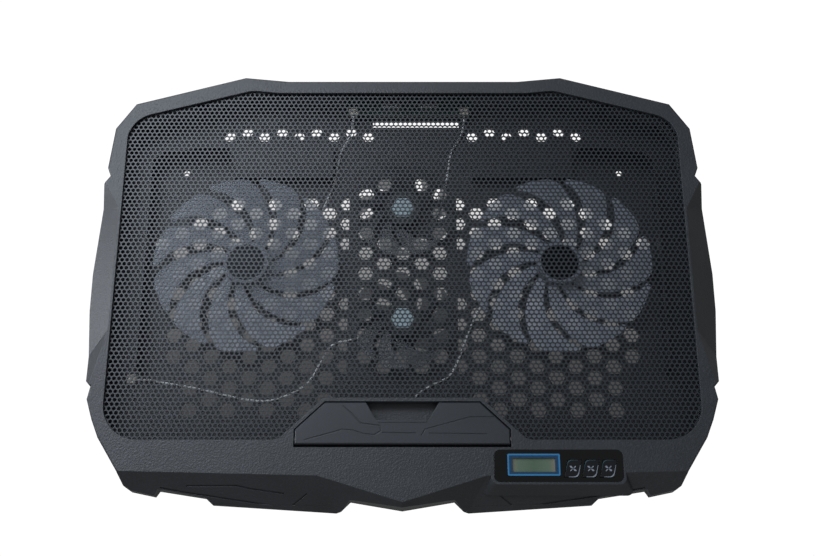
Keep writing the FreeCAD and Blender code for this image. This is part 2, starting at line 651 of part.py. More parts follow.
def bottom_shell(outer, cavity):
    """Tray with honeycomb floor, ribs, bosses and the two leg pockets."""
    below_seam = box((-REACH, REACH), (-REACH, REACH), (-REACH, PARTING_Z))
    shell = outer.cut(cavity).common(below_seam)
    pocket_block = leg_pocket(POCKET_WALL)
    bosses = [post(x, y, BELLY_Z + 1, PARTING_Z, BOSS_R) for x, y in CASE_SCREWS]
    posts = control_posts() + usb_posts()
    shell = fuse_all([shell, pocket_block, mirror(pocket_block)] + bosses + ribs() + posts)
    pocket = leg_pocket(0)
    bore_reach = LEG_PIN_REACH + 0.2
    pin_bore = rod(*LEG_AXIS, POCKET_X[0] - bore_reach, POCKET_X[1] + bore_reach, PIN_D / 2 + RUN_FIT)
    tools = [pocket, mirror(pocket), pin_bore, mirror(pin_bore)] + usb_openings()
    for x, y in CASE_SCREWS:
        tools.append(post(x, y, BELLY_Z - 1, WAIST_Z, COUNTERBORE_R))
        tools.append(post(x, y, BELLY_Z - 1, PARTING_Z + 1, SCREW_SHANK_R + RUN_FIT))
    for x, y in fan_screw_places():
        tools.append(post(x, y, BELLY_Z - 1, FLOOR_Z + 1, FAN_SCREW_R + RUN_FIT))
    tools.append(box(REAR_SLOT[:2], REAR_SLOT[2:], (BELLY_Z - 1, FLOOR_Z + 1)))
    kept = box((-HALF_COLUMN_X, HALF_COLUMN_X), (-REACH, REACH), (0, PARTING_Z))
    holes = []
    for x, y in hex_centres():
        hole = plate(hexagon(x, y, HEX_FLATS), BELLY_Z - 1, FLOOR_Z + 1)
        in_half_column = abs(abs(x) - HALF_COLUMN * HEX_COLUMN) < 1
        holes.append(hole.cut(kept) if in_half_column else hole)
    holes += [plate(outline, BELLY_Z - 1, FLOOR_Z + 1) for outline in rear_hexagons()]
    return shell.cut(Part.makeCompound(holes)).cut(tools)


# ---- stopper baffle -------------------------------------------------------
def stopper_baffle():
    """Flip-up stop for the laptop's front edge, with its hinge barrels."""
    z_high = DECK_Z + BAFFLE_PROUD
    z_low = z_high - BAFFLE_THICKNESS
    outline = baffle_outline(0)
    levels = [(outline, z_low), (outline, z_high - BAFFLE_BREAK), (inset(outline, BAFFLE_BREAK), z_high)]
    leaf = stack(levels).cut(plate(whole(BAFFLE_NOTCH_RIGHT), z_low - 1, z_high + 1))
    below_cracks = box((-REACH, REACH), (-REACH, REACH), (0, z_high - CRACK_DEPTH))
    for line in BAFFLE_CRACKS:
        for slot in engraving(line, CRACK_WIDTH, below_cracks):
            leaf = leaf.cut(slot)
    axis_y, axis_z = BAFFLE_AXIS
    barrel = rod(axis_y, axis_z, *BAFFLE_BARREL_X, BAFFLE_BARREL_R)
    web = box(BAFFLE_BARREL_X, (axis_y - BAFFLE_WEB, axis_y + BAFFLE_WEB), (axis_z, z_low + BITE))
    leaf = fuse_all([leaf, barrel, mirror(barrel), web, mirror(web)])
    bore = rod(axis_y, axis_z, *BAFFLE_BORE_X, PIN_D / 2 + RUN_FIT)
    return leaf.cut(bore).cut(mirror(bore))


def baffle_hinge_pins():
    """Two short steel pins between the baffle's barrels and the pocket's ends."""
    pin = rod(*BAFFLE_AXIS, *BAFFLE_PIN_X, PIN_D / 2)
    return Part.makeCompound([pin, mirror(pin)])


# ---- control panel --------------------------------------------------------
def button_outline(x, grow):
    """Slanted button outline."""
    half_x = BUTTON_SIZE[0] / 2 + grow
    half_y = BUTTON_SIZE[1] / 2 + grow
    lean = BUTTON_SLANT / 2
    y = BUTTON_CENTRE_Y
    return [
        (x - half_x + lean, y + half_y), (x + half_x + lean, y + half_y),
        (x + half_x - lean, y - half_y), (x - half_x - lean, y - half_y),
    ]


def panel_bezel():
    """Glossy cover plate with the display and button windows."""
    z_low = DECK_Z - PANEL_THICKNESS
    cover = rounded_plate(rectangle(PANEL_X, PANEL_Y, PANEL_CORNER), z_low, DECK_Z + 0.1)
    opening = rectangle(DISPLAY_X, DISPLAY_Y, DISPLAY_CORNER, PUSH_FIT)
    cover = cover.cut(rounded_plate(opening, z_low - 1, DECK_Z + 1))
    for x in BUTTON_CENTRES_X:
        cover = cover.cut(plate(button_outline(x, BUTTON_GAP), z_low - 1, DECK_Z + 1))
    return cover


def display_frame():
    """Blue frame round the display window."""
    frame = rounded_plate(rectangle(DISPLAY_X, DISPLAY_Y, DISPLAY_CORNER), *DISPLAY_Z)
    window = rounded_plate(rectangle(WINDOW_X, WINDOW_Y, WINDOW_CORNER), DISPLAY_Z[0] - 1, DECK_Z + 1)
    return frame.cut(window)


def display_glass():
    """Window over the display."""
    return rounded_plate(rectangle(WINDOW_X, WINDOW_Y, WINDOW_CORNER, -PUSH_FIT), *GLASS_Z)


def display_module():
    """Liquid crystal module on the control board, with its two pin rows."""
    pins = []
    for x in MODULE_PIN_XS:
        pins += [post(x, y, CONTROL_BOARD_Z[1], MODULE[2][0], MODULE_PIN_R) for y in MODULE_PIN_YS]
    return fuse_all([box(*MODULE)] + pins)


def button_cap(x):
    """Button with a flange that keeps it under the cover plate."""
    cap = plate(button_outline(x, 0.0), *BUTTON_Z)
    flange = plate(button_outline(x, FLANGE), BUTTON_Z[0], FLANGE_TOP_Z)
    return cap.fuse(flange).removeSplitter()


def tact_switches():
    """One push switch under each button, as separate bodies in one node."""
    switches = []
    for x in BUTTON_CENTRES_X:
        y = BUTTON_CENTRE_Y
        can = box((x - SWITCH_HALF, x + SWITCH_HALF), (y - SWITCH_HALF, y + SWITCH_HALF),
                  (CONTROL_BOARD_Z[1], SWITCH_CAN_Z))
        switches.append(can.fuse(post(x, y, SWITCH_CAN_Z, SWITCH_PLUNGER_Z, SWITCH_PLUNGER_R)))
    return Part.makeCompound(switches)


def control_board():
    """Circuit board under the panel."""
    return box(*CONTROL_BOARD, CONTROL_BOARD_Z)


# ---- USB board ------------------------------------------------------------
def usb_board():
    """Circuit board of the power inlet and pass-through sockets."""
    return box(USB_BOARD[:2], USB_BOARD[2:], USB_BOARD_Z)


def usb_shell(x):
    """Folded steel shell of one socket, open to the rear."""
    width, depth, height = USB_SIZE
    z_low = USB_BOARD_Z[1]
    y_high = REAR_WALL_Y - USB_SETBACK
    half = width / 2
    outer = box((x - half, x + half), (y_high - depth, y_high), (z_low, z_low + height))
    half -= USB_SHELL
    inner = box((x - half, x + half), (y_high - depth + USB_CLOSED_END, y_high + 1),
                (z_low + USB_SHELL, z_low + height - USB_SHELL))
    return outer.cut(inner)


def usb_tongues():
    """Contact tongue of each socket."""
    _, depth, height = USB_SIZE
    y_high = REAR_WALL_Y - USB_SETBACK
    y_range = (y_high - depth + USB_CLOSED_END, y_high - USB_TONGUE_SETBACK)
    z_top = USB_BOARD_Z[1] + height - USB_TONGUE_DROP
    return Part.makeCompound([
        box((x - USB_TONGUE_HALF, x + USB_TONGUE_HALF), y_range, (z_top - USB_TONGUE, z_top)) for x in USB_X
    ])


# ---- fans -----------------------------------------------------------------
def polar(radius, degrees):
    """Point in the plane at a radius and an angle."""
    return V(radius * math.cos(math.radians(degrees)), radius * math.sin(math.radians(degrees)))


def blade_face(hub, tip, pitch_angle):
    """Plan outline of one swept blade with round corners, as a face."""
    root = hub - BLADE_ROOT_BITE
    corner = CORNER_SHARE * tip
    shares = dict(zip((root, (root + tip) / 2, tip), BLADE_GAP_SHARES))

    def edge_angle(radius, side):
        sweep = BLADE_SWEEP * ((radius - root) / (tip - root) - 0.5)
        return sweep + side * pitch_angle * (0.5 - shares[radius])

    def side_points(side):
        at_root, at_middle, at_tip = (edge_angle(radius, side) for radius in shares)
        leave = polar(tip - corner, at_tip - BLADE_SWEEP * corner / (tip - root))
        land = polar(tip, at_tip - math.degrees(corner / tip) * side)
        round_off = leave * 0.25 + polar(tip, at_tip) * 0.5 + land * 0.25
        return [polar(root, at_root), polar((root + tip) / 2, at_middle), leave, round_off, land]

    low = side_points(-1)
    high = side_points(1)
    rim_middle = polar(tip, BLADE_SWEEP / 2)
    curves = [
        Part.Arc(low[0], low[1], low[2]), Part.Arc(low[2], low[3], low[4]),
        Part.Arc(low[4], rim_middle, high[4]), Part.Arc(high[4], high[3], high[2]),
        Part.Arc(high[2], high[1], high[0]), Part.LineSegment(high[0], low[0]),
    ]
    return Part.Face(Part.Wire([curve.toShape() for curve in curves]))


def blade_sheet(tip):
    """Curved sheet that every blade is cut from, rising along Y."""
    z_low, z_high = BLADE_Z
    near, far = (share * tip for share in BLADE_REACH)
    bend = BEND_SHARE * tip
    slope = math.atan2(z_high - z_low - BLADE_THICKNESS, far - near)
    chord = (far - near) / math.cos(slope)
    reach = math.sqrt(bend ** 2 - (chord / 2) ** 2)
    middle_z = (z_low + z_high + BLADE_THICKNESS) / 2
    axis = V(0, (near + far) / 2 + reach * math.sin(slope), middle_z - reach * math.cos(slope))
    outer = Part.makeCylinder(bend, 2 * tip, axis, V(1, 0, 0))
    inner = Part.makeCylinder(bend - BLADE_THICKNESS, 2 * tip, axis, V(1, 0, 0))
    return outer.cut(inner).common(box((0, 2 * tip), (-tip, tip), (z_low - BLADE_THICKNESS, FAN_TOP_Z)))


def impeller(fan):
    """Moulded impeller: hub cup and swept blades, each cut from a curved sheet."""
    x, y, tip, hub, blades, phase = FANS[fan]
    pitch_angle = 360.0 / blades
    prism = blade_face(hub, tip, pitch_angle).extrude(V(0, 0, FAN_TOP_Z))
    blade = prism.common(blade_sheet(tip))
    hollow = post(0, 0, FAN_HUB_Z - 1, FAN_TOP_Z - HUB_ROOF, hub - HUB_WALL)
    pieces = [post(0, 0, FAN_HUB_Z, FAN_TOP_Z, hub)]
    for i in range(blades):
        copy = blade.copy()
        copy.rotate(V(0, 0), V(0, 0, 1), phase + i * pitch_angle)
        pieces.append(copy)
    moulding = fuse_all(pieces).cut(hollow)
    if tip > LARGE_FAN_TIP:
        moulding = moulding.cut(post(0, 0, FAN_HUB_Z, FAN_TOP_Z + 1, hub - HUB_LIP))
    moulding.translate(V(x, y, 0))
    return moulding


def magnet_cup(fan):
    """Steel cup with the ring magnet, pressed under the hub."""
    x, y, _, hub, _, _ = FANS[fan]
    outside = hub - HUB_WALL
    z_top = FAN_TOP_Z - HUB_ROOF
    cup = post(x, y, FAN_HUB_Z + 0.4, z_top, outside)
    return cup.cut(post(x, y, FAN_HUB_Z, z_top - CUP_ROOF, outside - CUP_WALL))


def shaft(fan):
    """Fan shaft."""
    x, y = FANS[fan][:2]
    return post(x, y, FAN_BASE_Z + 0.3, FAN_TOP_Z - HUB_ROOF - CUP_ROOF, SHAFT_D / 2)


def motor_base(fan):
    """Motor plate with bearing tube and the wound stator round it."""
    x, y, _, hub, _, _ = FANS[fan]
    base = post(x, y, FLOOR_Z, FAN_BASE_Z, hub + MOTOR_RIM)
    tube = post(x, y, FLOOR_Z, FAN_TOP_Z - 3.2, BEARING_R)
    core = post(x, y, *STATOR_Z, STATOR_R)
    teeth = []
    head_in, head_out, head_half = TOOTH_HEAD
    for i in range(STATOR_TEETH):
        tooth = box((0, hub - head_out - 0.4), (-TOOTH_HALF, TOOTH_HALF), STATOR_Z)
        tooth = tooth.fuse(box((hub - head_in, hub - head_out), (-head_half, head_half), STATOR_Z))
        tooth.rotate(V(0, 0), V(0, 0, 1), 360.0 / STATOR_TEETH * (i + 0.5))
        tooth.translate(V(x, y, 0))
        teeth.append(tooth)
    stator = fuse_all([base, tube, core] + teeth)
    stator = stator.cut(post(x, y, FAN_BASE_Z, FAN_TOP_Z, SHAFT_D / 2 + RUN_FIT))
    for screw_x, screw_y in fan_screw_places():
        stator = stator.cut(post(screw_x, screw_y, FLOOR_Z - 1, FAN_BASE_Z + 1, FAN_SCREW_R + RUN_FIT))
    return stator


def fan_screw_places():
    """Two screws in each motor plate, under the hub."""
    places = []
    for x, y, _, hub, _, _ in FANS.values():
        places += [(x + (hub - FAN_SCREW_INSET) * side, y) for side in (-1, 1)]
    return places


def screw(x, y, z_point, z_seat, shank, head, head_height):
    """Screw with its head above the seat (or below it when the height is negative)."""
    body_part = post(x, y, min(z_point, z_seat), max(z_point, z_seat), shank)
    cap = post(x, y, min(z_seat, z_seat + head_height), max(z_seat, z_seat + head_height), head)
    return body_part.fuse(cap)


def fan_screws():
    """Screws that hold the motor plates to the floor."""
    return Part.makeCompound([
        screw(x, y, BELLY_Z + 0.3, FAN_BASE_Z, FAN_SCREW_R, *FAN_SCREW_HEAD) for x, y in fan_screw_places()
    ])


def case_screws():
    """Screws that hold bottom shell and top frame together, heads in their counterbores."""
    screws = []
    radius, height = CASE_SCREW_HEAD
    long, short, depth = CASE_SCREW_CROSS
    z_head = WAIST_Z - height
    for x, y in CASE_SCREWS:
        item = screw(x, y, CASE_SCREW_TIP_Z, WAIST_Z, SCREW_SHANK_R, radius, -height)
        for half_x, half_y in ((long, short), (short, long)):
            slot = box((x - half_x, x + half_x), (y - half_y, y + half_y), (z_head - 1, z_head + depth))
            item = item.cut(slot)
        screws.append(item)
    return Part.makeCompound(screws)


def hub_badge(fan):
    """Hexagonal cap on the hub of a small fan."""
    x, y = FANS[fan][:2]
    outline, smaller = (hexagon(x, y, flats) for flats in BADGE_FLATS)
    z_high = FAN_TOP_Z + BADGE_HEIGHT
    return stack([(outline, FAN_TOP_Z), (outline, z_high - BADGE_BREAK), (smaller, z_high)])


# ---- legs and feet --------------------------------------------------------
def rear_leg():
    """Flip-out leg: pivot barrel and a flat arm with a window."""
    axis_y, axis_z = LEG_AXIS
    barrel = rod(axis_y, axis_z, *LEG_X, LEG_ROOT_R)
    arm = box(LEG_X, (axis_y, LEG_TIP_Y), LEG_Z)
    side, root, tip = LEG_WINDOW
    window = box((LEG_X[0] + side, LEG_X[1] - side), (axis_y + root, LEG_TIP_Y - tip), (0, PARTING_Z))
    leg = fuse_all([barrel, arm]).cut(window)
    leg = leg.cut(box(LEG_X, (axis_y - 5, axis_y + 5), (0, LEG_Z[0])))
    return leg.cut(rod(axis_y, axis_z, LEG_X[0] - 1, LEG_X[1] + 1, PIN_D / 2 + RUN_FIT))


def leg_pad():
    """Rubber strip on the tip of the leg."""
    return box((LEG_X[0] + 2, LEG_X[1] - 2), (LEG_TIP_Y, LEG_TIP_Y + LEG_PAD), LEG_Z)


def leg_pivot_pins():
    """Pivot pins of both legs."""
    pin = rod(*LEG_AXIS, POCKET_X[0] - LEG_PIN_REACH, POCKET_X[1] + LEG_PIN_REACH, PIN_D / 2)
    return Part.makeCompound([pin, mirror(pin)])


def rubber_feet():
    """Four round feet under the bottom shell."""
    feet = []
    for x, y in FEET:
        foot = post(x, y, 0, BELLY_Z, FOOT_R)
        feet.append(foot.makeChamfer(FOOT_BREAK, [edge for edge in foot.Edges if edge.BoundBox.ZMax < 0.01]))
    return Part.makeCompound(feet)


# ---- internal leads -------------------------------------------------------
def lead_path(points):
    """Straight runs joined by the largest tangent arcs the runs allow."""
    nodes = [V(*point) for point in points]
    edges = []
    radii = []
    start = nodes[0]
    for before, here, after in zip(nodes, nodes[1:], nodes[2:]):
        arriving = (here - before).normalize()
        leaving = (after - here).normalize()
        turn = arriving.getAngle(leaving)
        cut = BEND_CUT * min((here - before).Length, (after - here).Length)
        radius = cut / math.tan(turn / 2)
        radii.append(round(radius, 1))
        enter = here - arriving * cut
        leave = here + leaving * cut
        middle = here + (leaving - arriving).normalize() * (radius / math.cos(turn / 2) - radius)
        edges.append(Part.LineSegment(start, enter).toShape())
        edges.append(Part.Arc(enter, middle, leave).toShape())
        start = leave
    edges.append(Part.LineSegment(start, nodes[-1]).toShape())
    print("bend radii", radii)
    return Part.Wire(edges)


def lead(points):
    """Round lead along a route."""
    path = lead_path(points)
    heading = V(*points[1]) - V(*points[0])
    ring = Part.Wire(Part.makeCircle(LEAD_D / 2, V(*points[0]), heading))
    tube = path.makePipeShell([ring], True, False)
    expected = math.pi * LEAD_D ** 2 / 4 * path.Length
    print("lead length", round(path.Length, 1), "volume over expected", round(tube.Volume / expected, 3))
    return tube


def lead_plugs():
    """Plug housings where the leads meet the boards."""
    return Part.makeCompound([box(*ranges) for ranges in LEAD_PLUGS])


# ---- build ----------------------------------------------------------------
def build():
    """Make every node."""
    os.makedirs("parts", exist_ok=True)
    outer = body(0)
    cavity = body(WALL)
    save("bottom_shell", bottom_shell(outer, cavity))
    save("top_frame", top_frame(outer, cavity))
    save("mesh_panel", mesh_panel())
    save("stopper_baffle", stopper_baffle())
    save("baffle_hinge_pins", baffle_hinge_pins())
    save("panel_bezel", panel_bezel())
    save("display_frame", display_frame())
    save("display_glass", display_glass())
    save("display_module", display_module())
    for name, x in zip(BUTTON_NAMES, BUTTON_CENTRES_X):
        save(name + "_button", button_cap(x))
    save("tact_switches", tact_switches())
    save("control_board", control_board())
    save("usb_board", usb_board())
    save("usb_inlet_shell", usb_shell(USB_X[0]))
    save("usb_outlet_shell", usb_shell(USB_X[1]))
    save("usb_tongues", usb_tongues())
    for fan in FANS:
        save(fan + "_impeller", impeller(fan))
        save(fan + "_magnet_cup", magnet_cup(fan))
        save(fan + "_shaft", shaft(fan))
        save(fan + "_motor_base", motor_base(fan))
    save("rear_fan_badge", hub_badge("rear_fan"))
    save("front_fan_badge", hub_badge("front_fan"))
    save("fan_screws", fan_screws())
    save("case_screws", case_screws())
    leg = rear_leg()
    pad = leg_pad()
    save("right_leg", leg)
    save("left_leg", mirror(leg))
    save("right_leg_pad", pad)
    save("left_leg_pad", mirror(pad))
    save("leg_pivot_pins", leg_pivot_pins())
    save("rubber_feet", rubber_feet())
    for name, points in LEADS.items():
        save(name, lead(points))
    save("lead_plugs", lead_plugs())


build()
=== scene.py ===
"""Looks of a laptop cooling pad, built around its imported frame.

Lengths are metres, apart from the fields whose names end in _mm.
"""

from __future__ import annotations

import json
import logging
import math
from dataclasses import dataclass
from enum import Enum
from typing import Iterable, Sequence

import bmesh
import bpy
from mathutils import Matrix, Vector
from mathutils.bvhtree import BVHTree

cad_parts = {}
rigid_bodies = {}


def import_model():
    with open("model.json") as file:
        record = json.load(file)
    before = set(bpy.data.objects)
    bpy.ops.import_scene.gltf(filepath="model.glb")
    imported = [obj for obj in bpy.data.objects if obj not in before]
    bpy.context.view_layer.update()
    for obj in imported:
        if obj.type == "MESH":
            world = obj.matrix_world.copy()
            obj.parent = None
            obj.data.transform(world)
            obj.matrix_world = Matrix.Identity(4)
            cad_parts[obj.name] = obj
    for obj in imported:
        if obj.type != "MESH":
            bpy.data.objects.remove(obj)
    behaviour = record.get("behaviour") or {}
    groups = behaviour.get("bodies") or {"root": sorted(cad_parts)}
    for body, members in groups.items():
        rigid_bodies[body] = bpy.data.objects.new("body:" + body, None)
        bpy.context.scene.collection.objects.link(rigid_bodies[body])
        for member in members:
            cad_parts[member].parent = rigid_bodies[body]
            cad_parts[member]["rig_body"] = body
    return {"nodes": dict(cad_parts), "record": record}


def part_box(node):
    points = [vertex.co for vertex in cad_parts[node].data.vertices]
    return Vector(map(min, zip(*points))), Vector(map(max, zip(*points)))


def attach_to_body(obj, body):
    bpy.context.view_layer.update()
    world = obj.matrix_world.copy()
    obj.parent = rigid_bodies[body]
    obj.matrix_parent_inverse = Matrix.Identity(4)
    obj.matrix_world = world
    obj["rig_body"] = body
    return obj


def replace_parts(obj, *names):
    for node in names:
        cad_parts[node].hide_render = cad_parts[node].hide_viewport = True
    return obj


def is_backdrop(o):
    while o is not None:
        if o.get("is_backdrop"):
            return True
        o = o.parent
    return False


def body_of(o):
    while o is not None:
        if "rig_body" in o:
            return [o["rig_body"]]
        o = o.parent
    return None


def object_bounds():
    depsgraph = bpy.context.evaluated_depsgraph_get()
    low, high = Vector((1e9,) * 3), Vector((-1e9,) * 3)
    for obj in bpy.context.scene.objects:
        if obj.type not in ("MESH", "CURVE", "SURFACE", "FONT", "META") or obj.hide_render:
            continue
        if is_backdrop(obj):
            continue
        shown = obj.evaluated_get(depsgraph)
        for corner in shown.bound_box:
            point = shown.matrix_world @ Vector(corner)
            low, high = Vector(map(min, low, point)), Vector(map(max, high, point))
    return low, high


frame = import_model()

LOG = logging.getLogger("cooling_pad")
MM = 0.001
SQRT3 = math.sqrt(3.0)
WELD = 0.05 * MM         # points closer than this are the same corner
SENSOR_MM = 36.0
Point = tuple[float, float]


# ---------------------------------------------------------------- helpers
def linear(hex_colour: str, alpha: float = 1.0) -> tuple[float, float, float, float]:
    """Turn an sRGB hex colour into linear RGBA.

    Args:
        hex_colour: six hex digits, such as "2e7fbf".
        alpha: opacity, carried through.

    Returns:
        Linear red, green, blue and alpha.
    """
    channels = [int(hex_colour[i:i + 2], 16) / 255 for i in (0, 2, 4)]
    red, green, blue = [c / 12.92 if c <= 0.04045 else ((c + 0.055) / 1.055) ** 2.4 for c in channels]
    return (red, green, blue, alpha)


def add_node(
    tree: bpy.types.NodeTree,
    kind: str,
    settings: dict[str, object] | None = None,
    inputs: dict[str | int, object] | None = None,
) -> bpy.types.Node:
    """Add one shader node with its settings and links.

    Args:
        tree: the material's node tree.
        kind: the node's type name.
        settings: attributes of the node itself.
        inputs: per input, either a constant or the output socket that feeds it.

    Returns:
        The new node.
    """
    node = tree.nodes.new(kind)
    for key, value in (settings or {}).items():
        setattr(node, key, value)
    for key, value in (inputs or {}).items():
        if isinstance(value, bpy.types.NodeSocket):
            tree.links.new(value, node.inputs[key])
        else:
            node.inputs[key].default_value = value
    return node


def ramp(node: bpy.types.Node, stops: Sequence[tuple[float, tuple[float, float, float, float]]]) -> None:
    """Set the stops of a colour ramp node.

    Args:
        node: the colour ramp node.
        stops: position and colour of each stop, in order.
    """
    elements = node.color_ramp.elements
    while len(elements) < len(stops):
        elements.new(1.0)
    for element, (position, colour) in zip(elements, stops):
        element.position = position
        element.color = colour


def grey(value: float) -> tuple[float, float, float, float]:
    """Return an opaque grey."""
    return (value, value, value, 1.0)


def waves_per_metre(millimetres: float) -> float:
    """Return a texture scale that repeats once in a real length."""
    return 1.0 / (millimetres * MM)


# ---------------------------------------------------------------- finishes
CLOUD_MM = 28.0          # size of the patches that a colour drifts in
COAT_ROUGHNESS = 0.04
BEVEL_SAMPLES = 4


class Grain(Enum):
    """How the small relief of a surface is laid."""

    SPARKED = "spark eroded"
    SPRAYED = "sprayed coat"
    MOULDED = "plain moulded"
    DRAWN = "drawn metal"


@dataclass(frozen=True)
class Finish:
    """A surface finish made from a real material.

    Attributes:
        name: common name of the material and how its surface was made.
        colour: sRGB hex of the base colour.
        second: sRGB hex that the colour drifts towards in patches.
        drift: how far it drifts, 0 to 1.
        roughness: middle of the roughness.
        spread: how far the roughness varies round its middle.
        metallic: 1 for bare metal, 0 otherwise.
        ior: index of refraction of a non-metal.
        grain: the kind of relief.
        grain_mm: size of one grain.
        relief_mm: height of the relief.
        edge_mm: radius that moulded or folded edges read as.
        alpha: opacity.
        coat: share of a clear coat.
        glow: strength of emission in the base colour.
        sheen: share of the soft grazing sheen.
    """

    name: str
    colour: str
    second: str = ""
    drift: float = 0.0
    roughness: float = 0.5
    spread: float = 0.05
    metallic: float = 0.0
    ior: float = 1.5
    grain: Grain = Grain.MOULDED
    grain_mm: float = 1.0
    relief_mm: float = 0.0
    edge_mm: float = 0.0
    alpha: float = 1.0
    coat: float = 0.0
    glow: float = 0.0
    sheen: float = 0.0

    def pattern(self, tree: bpy.types.NodeTree, place: bpy.types.NodeSocket) -> bpy.types.NodeSocket:
        """Build the grey height pattern of the relief.

        Args:
            tree: the material's node tree.
            place: object coordinates.

        Returns:
            The socket that carries the height, 0 to 1.
        """
        scale = waves_per_metre(self.grain_mm)
        if self.grain is Grain.DRAWN:
            stretched = add_node(tree, "ShaderNodeMapping", None, {0: place, "Scale": (0.05, 1.0, 1.0)})
            return add_node(tree, "ShaderNodeTexNoise", None, {
                "Vector": stretched.outputs[0], "Scale": scale, "Detail": 3.0}).outputs[0]
        if self.grain is Grain.SPARKED:
            cells = add_node(tree, "ShaderNodeTexVoronoi", None, {"Vector": place, "Scale": scale})
            noise = add_node(tree, "ShaderNodeTexNoise", None, {
                "Vector": place, "Scale": scale * 0.6, "Detail": 4.0, "Roughness": 0.7})
            mixed = add_node(tree, "ShaderNodeMath", {"operation": "MULTIPLY"}, {
                0: cells.outputs["Distance"], 1: noise.outputs[0]})
            return mixed.outputs[0]
        detail = 2.0 if self.grain is Grain.SPRAYED else 4.0
        return add_node(tree, "ShaderNodeTexNoise", None, {
            "Vector": place, "Scale": scale, "Detail": detail, "Roughness": 0.55}).outputs[0]

    def build(self) -> bpy.types.Material:
        """Make the material.

        Returns:
            A material named after the finish.
        """
        material = bpy.data.materials.new(self.name)
        material.use_nodes = True
        tree = material.node_tree
        shader = tree.nodes["Principled BSDF"]
        place = add_node(tree, "ShaderNodeTexCoord").outputs["Object"]
        height = self.pattern(tree, place)
        self.lay_colour(tree, shader, place, height)
        spread = add_node(tree, "ShaderNodeMapRange", None, {
            "Value": height, "From Min": 0.25, "From Max": 0.75,
            "To Min": max(self.roughness - self.spread, 0.02), "To Max": self.roughness + self.spread})
        tree.links.new(spread.outputs[0], shader.inputs["Roughness"])
        shader.inputs["Metallic"].default_value = self.metallic
        if self.metallic == 0.0:
            shader.inputs["IOR"].default_value = self.ior
        shader.inputs["Alpha"].default_value = self.alpha
        shader.inputs["Coat Weight"].default_value = self.coat
        shader.inputs["Coat Roughness"].default_value = COAT_ROUGHNESS
        shader.inputs["Sheen Weight"].default_value = self.sheen
        self.lay_relief(tree, shader, height)
        if self.glow > 0:
            shader.inputs["Emission Color"].default_value = linear(self.colour)
            shader.inputs["Emission Strength"].default_value = self.glow
        return material

    def lay_colour(
        self,
        tree: bpy.types.NodeTree,
        shader: bpy.types.Node,
        place: bpy.types.NodeSocket,
        height: bpy.types.NodeSocket,
    ) -> None:
        """Set the base colour: drifting patches, and painted shade that darkens the pits where the second
        colour is the lighter one.

        Args:
            tree: the material's node tree.
            shader: the Principled node.
            place: object coordinates.
            height: the relief pattern.
        """
        if not self.second:
            shader.inputs["Base Color"].default_value = linear(self.colour)
            return
        cloud = add_node(tree, "ShaderNodeTexNoise", None, {
            "Vector": place, "Scale": waves_per_metre(CLOUD_MM), "Detail": 3.0})
        # The cloud is the material's own drifting tone; adding the relief height paints shade into the pits
        # wherever the second colour is the lighter one.
        both = add_node(tree, "ShaderNodeMath", {"operation": "ADD", "use_clamp": True}, {
            0: cloud.outputs[0], 1: height})
        blend = add_node(tree, "ShaderNodeMapRange", None, {
            "Value": both.outputs[0], "From Min": 0.55, "From Max": 1.15,
            "To Min": 0.0, "To Max": self.drift})
        mixed = add_node(tree, "ShaderNodeMix", {"data_type": "RGBA"}, {
            "Factor": blend.outputs[0], 6: linear(self.colour), 7: linear(self.second)})
        tree.links.new(mixed.outputs[2], shader.inputs["Base Color"])

    def lay_relief(
        self, tree: bpy.types.NodeTree, shader: bpy.types.Node, height: bpy.types.NodeSocket
    ) -> None:
        """Feed the relief, and the soft edges of the moulding, into the normal.

        Args:
            tree: the material's node tree.
            shader: the Principled node.
            height: the relief pattern.
        """
        normal = None
        if self.edge_mm > 0:
            normal = add_node(tree, "ShaderNodeBevel", {"samples": BEVEL_SAMPLES}, {
                "Radius": self.edge_mm * MM}).outputs[0]
        if self.relief_mm > 0:
            inputs = {"Height": height, "Distance": self.relief_mm * MM, "Strength": 1.0}
            if normal is not None:
                inputs["Normal"] = normal
            normal = add_node(tree, "ShaderNodeBump", None, inputs).outputs[0]
        if normal is not None:
            tree.links.new(normal, shader.inputs["Normal"])


# Black ABS, moulded in a spark-eroded tool: pitted and satin, so it greys where the light grazes.
TEXTURED_ABS = Finish(
    "abs_spark_textured", "26292d", "34383d", drift=0.6, roughness=0.5, spread=0.08, ior=1.54,
    grain=Grain.SPARKED, grain_mm=1.1, relief_mm=0.2, edge_mm=0.5)
# The same ABS, where the tool was polished: finer grain on the baffle's face.
SATIN_ABS = Finish(
    "abs_satin_moulded", "292c31", "363b41", drift=0.5, roughness=0.42, spread=0.05, ior=1.54,
    grain=Grain.SPARKED, grain_mm=0.7, relief_mm=0.04, edge_mm=0.4)
# Mild steel sheet, punched and powder coated black: a slight orange peel and a soft shine.
COATED_STEEL = Finish(
    "steel_powder_coated_black", "22262b", "30353b", drift=0.5, roughness=0.36, spread=0.08, ior=1.52,
    grain=Grain.SPRAYED, grain_mm=0.8, relief_mm=0.03)
# Acrylic cover, polished: deep black with sharp reflections.
PIANO_BLACK = Finish(
    "acrylic_gloss_black", "050607", "0a0b0d", drift=0.5, roughness=0.09, spread=0.03, ior=1.49,
    grain_mm=6.0, relief_mm=0.004, edge_mm=0.3)
# Blue light guide in polycarbonate round the display.
BLUE_GUIDE = Finish(
    "polycarbonate_blue_light_guide", "0a3049", "0d3c5c", drift=0.8, roughness=0.3, spread=0.05, ior=1.58,
    grain_mm=2.0, relief_mm=0.01, edge_mm=0.2, glow=0.05)
# Painted highlight: a lighter, glowing copy of the guide's blue polycarbonate, laid along its outer edge.
PAINTED_EDGE_HIGHLIGHT = Finish(
    "polycarbonate_painted_edge_highlight", "24618c", "2c709c", drift=0.8, roughness=0.3, spread=0.05, ior=1.58,
    grain_mm=2.0, glow=0.22)
